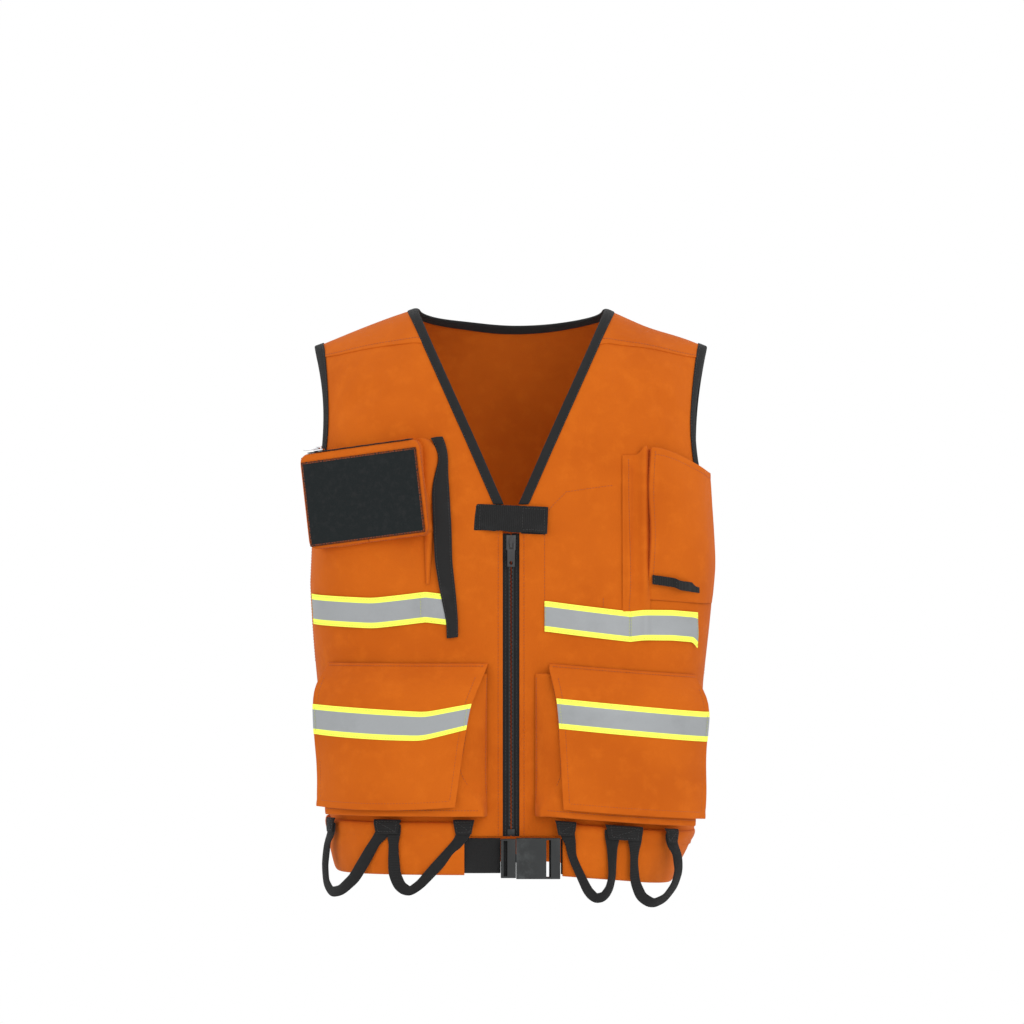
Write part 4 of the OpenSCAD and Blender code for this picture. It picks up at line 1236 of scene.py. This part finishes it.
def radio_at(u, v):
    """A narrow open bag whose foot runs out flat under the tape."""
    d = u * RADIO_LONG
    inner, outer = clamp(d / RADIO_WALL), clamp((RADIO_LONG - d) / RADIO_WALL)
    share = clamp((d - RADIO_WALL) / (RADIO_LONG - 2 * RADIO_WALL))
    turn = mix(RADIO_A, RADIO_B, share)
    x, _ = ring(turn, CHEST_Z, 6)
    top = mix(-156, -181, smooth(share * 0.95))
    z = mix(RADIO_LOW, top, v)
    full = minimum(minimum(inner, outer) ** 0.8, smooth((z - RADIO_LOW) / 46) ** 0.7)
    off = mix(2.7, 12.4 - 5.5 * smooth((share - 0.62) / 0.38), full)
    front = (share > 0) * (share < 1)
    off = off + 0.7 * sin(share * 8 + z / 30) * front + hem(top - z, 7) * front
    off = off - 2.6 * arch(share) * smooth((v - 0.6) / 0.4)
    return lay(turn + 0.25 * sin(z / 14) * (1 - smooth(share * 8)), level(z, x), np.clip(off, 2.4, 14), 1)


def ridge_at(u, v):
    """Two upright pleats beside the left chest pocket."""
    x = mix(119.5, 149.0, u) + 1.0 * sin(v * 6) * arch(u)
    z = mix(-326, mix(-161, -153, bump(x - 143, 5)), v)
    first, second = bump(x - 126, 3.6), bump(x - 142.5, 4.6)
    fade = smooth(v * 5)
    off = 2.5 + fade * (3.4 * first * smooth((1 - v) * 9) + (7.6 - 1.5 * sin(v * 3)) * second)
    return lay(turn_at_x(x), level(z, x), off + 0.35 * sin(z / 12), 1)


def chest_strap_at(u, v):
    turn = turn_at_x(mix(148.5, 196, u))
    z = mix(-293.5, -297.5, u) + 9 * v - 1.8 * (1 / (1 + exp(-(u - 0.52) * 60)) - 0.5)
    slope = -4.4 * smooth((u - 0.5) / 0.5)
    return lay(turn, z, 11.6 + slope + 0.5 * sin(u * 12) + 1.4 * bump(u - 0.52, 0.05), 1)


class VEST_OT_left_chest(VestOperator, bpy.types.Operator):
    """Make the left chest pocket, its pleats and strap, and the pocket inside the front"""
    bl_idname = "vest.left_chest"
    bl_label = "Left chest pocket"

    def make(self, scene):
        across = concatenate([linspace(0, RADIO_WALL, 7), linspace(14, 104, 24),
                                 linspace(107, RADIO_LONG, 7)]) / RADIO_LONG
        panel("radio_pocket", "cloth", "chest_pocket_left", across,
              concatenate([linspace(0, 0.94, 38), [0.955, 0.97, 0.985, 1]]), radio_at, CLOTH,
              lies=("folded", "front_cloth_left"),
              seams=[column(0.125, 0.1, 0.98), row(0.955, 0.12, 0.88)])
        panel("radio_pleats", "cloth", "chest_gusset_left", linspace(0, 1, 26), lines(168, 4.5),
              ridge_at, CLOTH, lies=("gathered", "front_cloth_left"), seams=[column(0.235, 0.03, 0.97)])
        panel("radio_strap", "webbing", "accessory_strap", lines(58, 2.5), lines(9, 2, (0.5, 1.5)),
              chest_strap_at, 1.5, seams=[column(u, 0.1, 0.9) for u in (0.04, 0.96, 0.5)])
        panel("inner_pocket_cloth", "cloth", "inner_pocket_left", lines(90), lines(108),
              lambda u, v: lay(turn_at_x(mix(38, 126, u)), mix(-330, -222, v), -1.0 - 0.3 * sin(v * 9)),
              0.9, soft=0, side=-1, lies=("laid", "front_cloth_left"),
              seams=[[(0.03, 0.97), (0.03, 0.03), (0.97, 0.03), (0.97, 0.97)]])


# ---- Reflective tapes on the body ----
def band(side, turn0, turn1, tops, off, sag):
    """Tape between two turns, with its top edge through tops."""
    def at(u, v):
        z = curve(u, *tops) - TAPE_HIGH * (1 - v)
        return lay(mix(turn0, turn1, u), z, off + sag * sin(u * 19) * 0.4, side)
    return at


def left_tape_end(u, v):
    """The tape over the left chest pocket, with a fold and a loose corner."""
    z = curve(u, [0, 0.2, 0.6, 1], [-322, -319, -317, -317.5]) - TAPE_HIGH * (1 - v)
    loose = smooth((u - 0.93) / 0.07) * (1 - v)
    return lay(mix(turn_at_x(128.0), 69, u), z - 6 * loose, 3.0 + 2.2 * bump(u - 0.22, 0.045) + 3.0 * loose)


class VEST_OT_tapes(VestOperator, bpy.types.Operator):
    """Make the reflective tapes on the chest and the back"""
    bl_idname = "vest.tapes"
    bl_label = "Reflective tapes"

    def make(self, scene):
        seams = [column(0.012, 0.05, 0.95), column(0.988, 0.05, 0.95), *TAPE_EDGES]
        start, joint = turn_at_x(68.5), turn_at_x(97.0)
        near = band(-1, joint, start, ([0, 0.12, 1], [-309, -308, -311]), 2.7, 1.2)
        far = band(-1, 78, joint - 0.4, ([0, 0.6, 1], [-311, -315, -308.5]), 2.9, 1.0)
        left = band(1, turn_at_x(36), turn_at_x(128.5), ([0, 1], [-318, -322]), 2.7, 0.8)
        for name, long, step, place, rows in (
                ("right_inner", 30, 4, lambda u, v: near(u * mix(1.0, 0.82, v), v), TAPE_EDGES),
                ("right_outer", 125, 5, far, seams), ("left_inner", 92, 5, left, seams),
                ("left_outer", 95, 4, left_tape_end, seams)):
            hand = name.split("_")[0]
            panel("chest_tape_" + name, "tape", "chest_tape_" + hand, lines(long, step), TAPE_ROWS, place,
                  0.7, seams=rows, lies=("laid", "front_cloth_" + hand))
        panel("back_tape_band", "tape", "back_tape", lines(420, 6), TAPE_ROWS,
              band(1, 104, 256, ([0, 1], [-310, -310]), 2.8, 0.5), 0.7, seams=seams,
              lies=("laid", "back_cloth"))


# ---- Hem casing, belt and buckle ----
# round the casing's tube: height, distance outside the body
TUBE = np.array([[-560.0, 2.5], [-556.6, 3.4], [-556.8, 5.2], [-560, 6.8], [-566, 7.1], [-571, 6.0],
                 [-575, 7.2], [-592, 7.5], [-606, 7.2], [-611.5, 6.6], [-613.4, 4.9], [-612.6, 3.2],
                 [-606, 2.5], [-585, 2.4], [-560.0, 2.5]])


def drawn_in(p, z):
    """The left side of the hem, drawn in by its belt."""
    p[..., 0] -= smooth((p[..., 0] - 110) / 70) * mix(2, 17, smooth((-548 - z) / 60))
    return p


def casing_at(turn0, turn1, side):
    def at(u, v):
        z, off = (interp(v, linspace(0, 1, len(TUBE)), part) for part in TUBE.T)
        turn = mix(turn0, turn1, u)
        front = smooth((off - 4.5) / 2)
        far = np.abs(turn) * 3.3
        puff = front * (0.8 * sin(far / 13.0) * bump(z + 590, 22)
                        + 0.5 * sin(far / 5.1 + 1) * bump(z + 570, 5))
        return drawn_in(lay(turn, z, off + minimum(puff, 0.4), side, 0.6), z)
    return at


def belt_at(u, v):
    turn = mix(turn_at_x(53.3, HEM_Z), 360 - turn_at_x(11.3, HEM_Z), u)
    z = -611.3 + 38 * v
    return drawn_in(lay(turn, z, 4.9, 1, 0.6), z)


def bar_wrap(x0, x1):
    """Webbing that turns round a bar of the buckle."""
    def at(u, v):
        a = u * math.pi
        x = (x0 + x1) / 2 - (x1 - x0) / 2 * cos(a)
        y = -118 - 4.6 - 3.4 * sin(a) ** 0.7
        return xyz(x, y, -616.5 + 42.0 * v)
    return at


class VEST_OT_belt(VestOperator, bpy.types.Operator):
    """Make the hem casing, the belt and its buckle"""
    bl_idname = "vest.belt"
    bl_label = "Belt and buckle"

    def make(self, scene):
        for name, turn0, turn1, side, long, under in (
                ("left", turn_at_x(55, HEM_Z), 89.8, 1, 210, "front_cloth_left"),
                ("right", turn_at_x(50, HEM_Z), 89.8, -1, 215, "front_cloth_right"),
                ("back", 90.2, 269.8, 1, 510, "back_cloth")):
            panel("casing_" + name, "cloth", "hem_casing_" + name, lines(long),
                  linspace(0, 1, len(TUBE)), casing_at(turn0, turn1, side), 1.1, side=-side,
                  seams=[row(5.0 / (len(TUBE) - 1), 0.01, 0.99)], lies=("folded", under))
        panel("belt_strap", "webbing", "belt_webbing", lines(1000, 7), lines(38, 5, (0.8, 3)), belt_at, 1.9)
        for k, (x0, x1) in enumerate(((-10.6, -2.0), (41.4, 52.6))):
            panel(f"belt_wrap_{k + 1}", "webbing", "belt_webbing", linspace(0, 1, 12),
                  lines(36, 4, (0.8, 3)), bar_wrap(x0, x1), 1.4)
        for part, body in (("socket", "root"), ("plug", "root"), ("prong_upper", "prong_upper_body"),
                           ("prong_lower", "prong_lower_body")):
            hard_part("buckle_" + part, "buckle_plastic", "buckle_plastic", body, 0.9)


# ---- Tool loops ----
TACK_Z, DROP = -568.0, {1: 68.0, -1: 76.0}
# each loop: points (distance round, share of its drop), side, height of its hinge
LOOPS = {
    "left_inner": ([[60, 0], [63, 0.1], [65, 0.34], [74, 0.63], [82, 0.87], [90, 0.98], [99, 0.94],
                    [105, 0.8], [108, 0.61], [108, 0.3], [108, 0]], 1, -571.8),
    "left_outer": ([[133, 0], [132, 0.35], [133, 0.66], [140, 0.9], [153, 1], [168, 0.9], [181, 0.68],
                    [187, 0.45], [185, 0.2], [177, 0]], 1, -577.5),
    "right_inner": ([[126, 0], [126, 0.3], [125, 0.58], [119, 0.76], [109, 0.84], [97, 0.73],
                     [84, 0.54], [70, 0.34], [58, 0.16], [50, 0]], -1, -568.0),
    "right_outer": ([[208, 0], [218, 0.18], [226, 0.5], [222, 0.74], [207, 0.88], [190, 0.84],
                     [172, 0.66], [160, 0.42], [146, 0.12], [138, 0]], -1, -568.0),
}
TACKS = {1: ((48, 68), (101, 140), (168, 184)), -1: ((40, 60), (118, 146), (200, 216))}


def hang(distance, depth, off, side):
    """A point of the upright sheet that the loops hang in."""
    x, y = ring(turn_round(distance, HANG_ARC), CASING_TOP, off)
    z = TACK_Z - depth - droop(x * side, TACK_Z)
    return xyz(x * side, y, z)


def loop_at(points, side, seed):
    drop = DROP[side]
    points = np.array([[points[0][0], -9 / drop], *points, [points[-1][0], -9 / drop]], float)
    points[:, 1] *= drop
    steps = linspace(0, len(points) - 1, 16 * (len(points) - 1) + 1)
    fine = sample(steps, range(len(points)), points)
    for _ in range(14):
        fine[1:-1] = (fine[:-2] + 2 * fine[1:-1] + fine[2:]) / 4
    run = concatenate([[0], cumsum(np.hypot(*np.diff(fine, axis=0).T))])
    ahead = np.gradient(fine, axis=0)
    ahead /= np.linalg.norm(ahead, axis=1)[:, None]

    def at(u, v):
        d = v * run[-1]
        (x, z), (along_x, along_z) = (np.moveaxis(sample(d, run, part), -1, 0) for part in (fine, ahead))
        near = minimum(d, run[-1] - d)
        turned = 0.30 * sin(v * 7 + seed) * smooth((near - 14) / 20)
        wide = (11.5 + 5.0 * (1 - smooth((near - 6) / 16))) * cos(turned)
        w = (u - 0.5) * wide
        tilt = (u - 0.5) * 11.5 * sin(turned)
        cup = 0.5 * (1 - (2 * u - 1) ** 2)
        return hang(x - along_z * w, z + along_x * w, HANG_OFF + 1.5 + tilt + cup, side)
    return at, run[-1]


def tack_at(d0, d1, side):
    def at(u, v):
        d = mix(d0, d1, u) + (u - 0.5) * 6 * (v - 0.5)
        off = HANG_OFF + 3.6 + 0.5 * sin(u * 5) - 1.2 * smooth((v - 0.8) / 0.2)
        return hang(d, -mix(-1.2, 14.5, v), off, side)
    return at


class VEST_OT_tool_loops(VestOperator, bpy.types.Operator):
    """Make the four hanging tool loops and the patches that hold them"""
    bl_idname = "vest.tool_loops"
    bl_label = "Tool loops"

    def make(self, scene):
        for k, (name, (points, side, hinge)) in enumerate(LOOPS.items()):
            at, run = loop_at(points, side, k)
            panel("loop_strap_" + name, "loop", "tool_loop_" + name, linspace(0, 1, 6), lines(run, 4),
                  at, scene.vest_sizes.strap / MM, side=-side,
                  bend=("root", f"tool_loop_{name}_body", (0, 0, hinge * MM + 0.002),
                        (0, 0, hinge * MM - 0.008)),
                  seams=[column(0.1, 0.02, 0.98), column(0.9, 0.02, 0.98)])
        for side, hand in SIDES:
            for k, (start, end) in enumerate(TACKS[side]):
                panel(f"loop_tack_{hand}_{k + 1}", "loop", "loop_tab_" + hand,
                      lines(end - start, 3, (0.8, 2.2)), lines(16, 3, (0.8, 2.2)),
                      tack_at(start, end, side), 1.5, side=side,
                      seams=[[*box(0.12, 0.16, 0.88, 0.84), (0.88, 0.84)]])


# ---- Stage ----
FLOOR_Z = -1.3


class VEST_OT_stage(VestOperator, bpy.types.Operator):
    """Make the floor, the lights and the camera"""
    bl_idname = "vest.stage"
    bl_label = "Stage"

    def make(self, scene):
        stage = scene.vest_stage
        look = Look("pale_floor")
        look.done(Base_Color=look.blend(look.noise(3, 2), (0.86, 0.86, 0.86), (0.84, 0.84, 0.84)),
                  Roughness=0.9)
        bm = bmesh.new()
        bmesh.ops.create_grid(bm, x_segments=8, y_segments=8, size=3.2,
                              matrix=Matrix.Translation((0, 0, FLOOR_Z)))
        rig.stage(link("floor", to_mesh(bm, "floor"), ["pale_floor"]))
        world = bpy.data.worlds.new("white_room")
        world.use_nodes = True
        sky = world.node_tree.nodes["Background"]
        sky.inputs["Color"].default_value = (1, 1, 1, 1)
        sky.inputs["Strength"].default_value = stage.fill
        scene.world = world
        for name, at, size, power in (("key", (1.5, -2.6, 0.9), 1.6, stage.key),
                                      ("side", (-2.2, -1.6, 0.3), 1.2, stage.key * 0.25)):
            data = bpy.data.lights.new(name, "AREA")
            data.energy, data.size = power, size
            light = bpy.data.objects.new(name, data)
            light.location = at
            light.rotation_euler = (Vector((0, 0, -0.3)) - Vector(at)).to_track_quat("-Z", "Y").to_euler()
            scene.collection.objects.link(light)
        data = bpy.data.cameras.new("camera")
        data.lens, data.sensor_width = stage.lens, 36
        data.clip_end = 60
        camera = bpy.data.objects.new("camera", data)
        camera.location = (0.001, -stage.distance - 0.065, stage.height)
        camera.rotation_euler = (math.pi / 2, 0, 0)
        scene.collection.objects.link(camera)
        scene.camera = camera
        scene.view_settings.view_transform = "Standard"


OPERATORS = (VEST_OT_stage, VEST_OT_finishes, VEST_OT_shell, VEST_OT_bindings, VEST_OT_front_zip,
             VEST_OT_lower_pockets, VEST_OT_right_chest, VEST_OT_left_chest, VEST_OT_tapes,
             VEST_OT_belt, VEST_OT_tool_loops)


class VEST_PT_panel(bpy.types.Panel):
    bl_idname = "VEST_PT_panel"
    bl_label = "Work vest"
    bl_space_type = "VIEW_3D"
    bl_region_type = "UI"
    bl_category = "Work vest"

    def draw(self, context):
        for group in (context.scene.vest_sizes, context.scene.vest_colours, context.scene.vest_stage):
            for name in group.bl_rna.properties.keys():
                if name not in ("rna_type", "name"):
                    self.layout.prop(group, name)
        for operator in OPERATORS:
            self.layout.operator(operator.bl_idname)


GROUPS = {"vest_sizes": VestSizes, "vest_colours": VestColours, "vest_stage": VestStage}


def register():
    for kind in (*GROUPS.values(), *OPERATORS, VEST_PT_panel):
        bpy.utils.register_class(kind)
    for name, kind in GROUPS.items():
        setattr(bpy.types.Scene, name, bpy.props.PointerProperty(type=kind))


def unregister():
    for name in GROUPS:
        delattr(bpy.types.Scene, name)
    for kind in reversed((*GROUPS.values(), *OPERATORS, VEST_PT_panel)):
        bpy.utils.unregister_class(kind)


def main():
    register()
    for operator in OPERATORS:
        group, name = operator.bl_idname.split(".")
        getattr(getattr(bpy.ops, group), name)()
    with open("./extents.json", "w") as file:
        json.dump({"frame": FRAME_BOX, "visual": [list(corner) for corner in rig.bounds()]}, file)


if __name__ == "__main__":
    main()
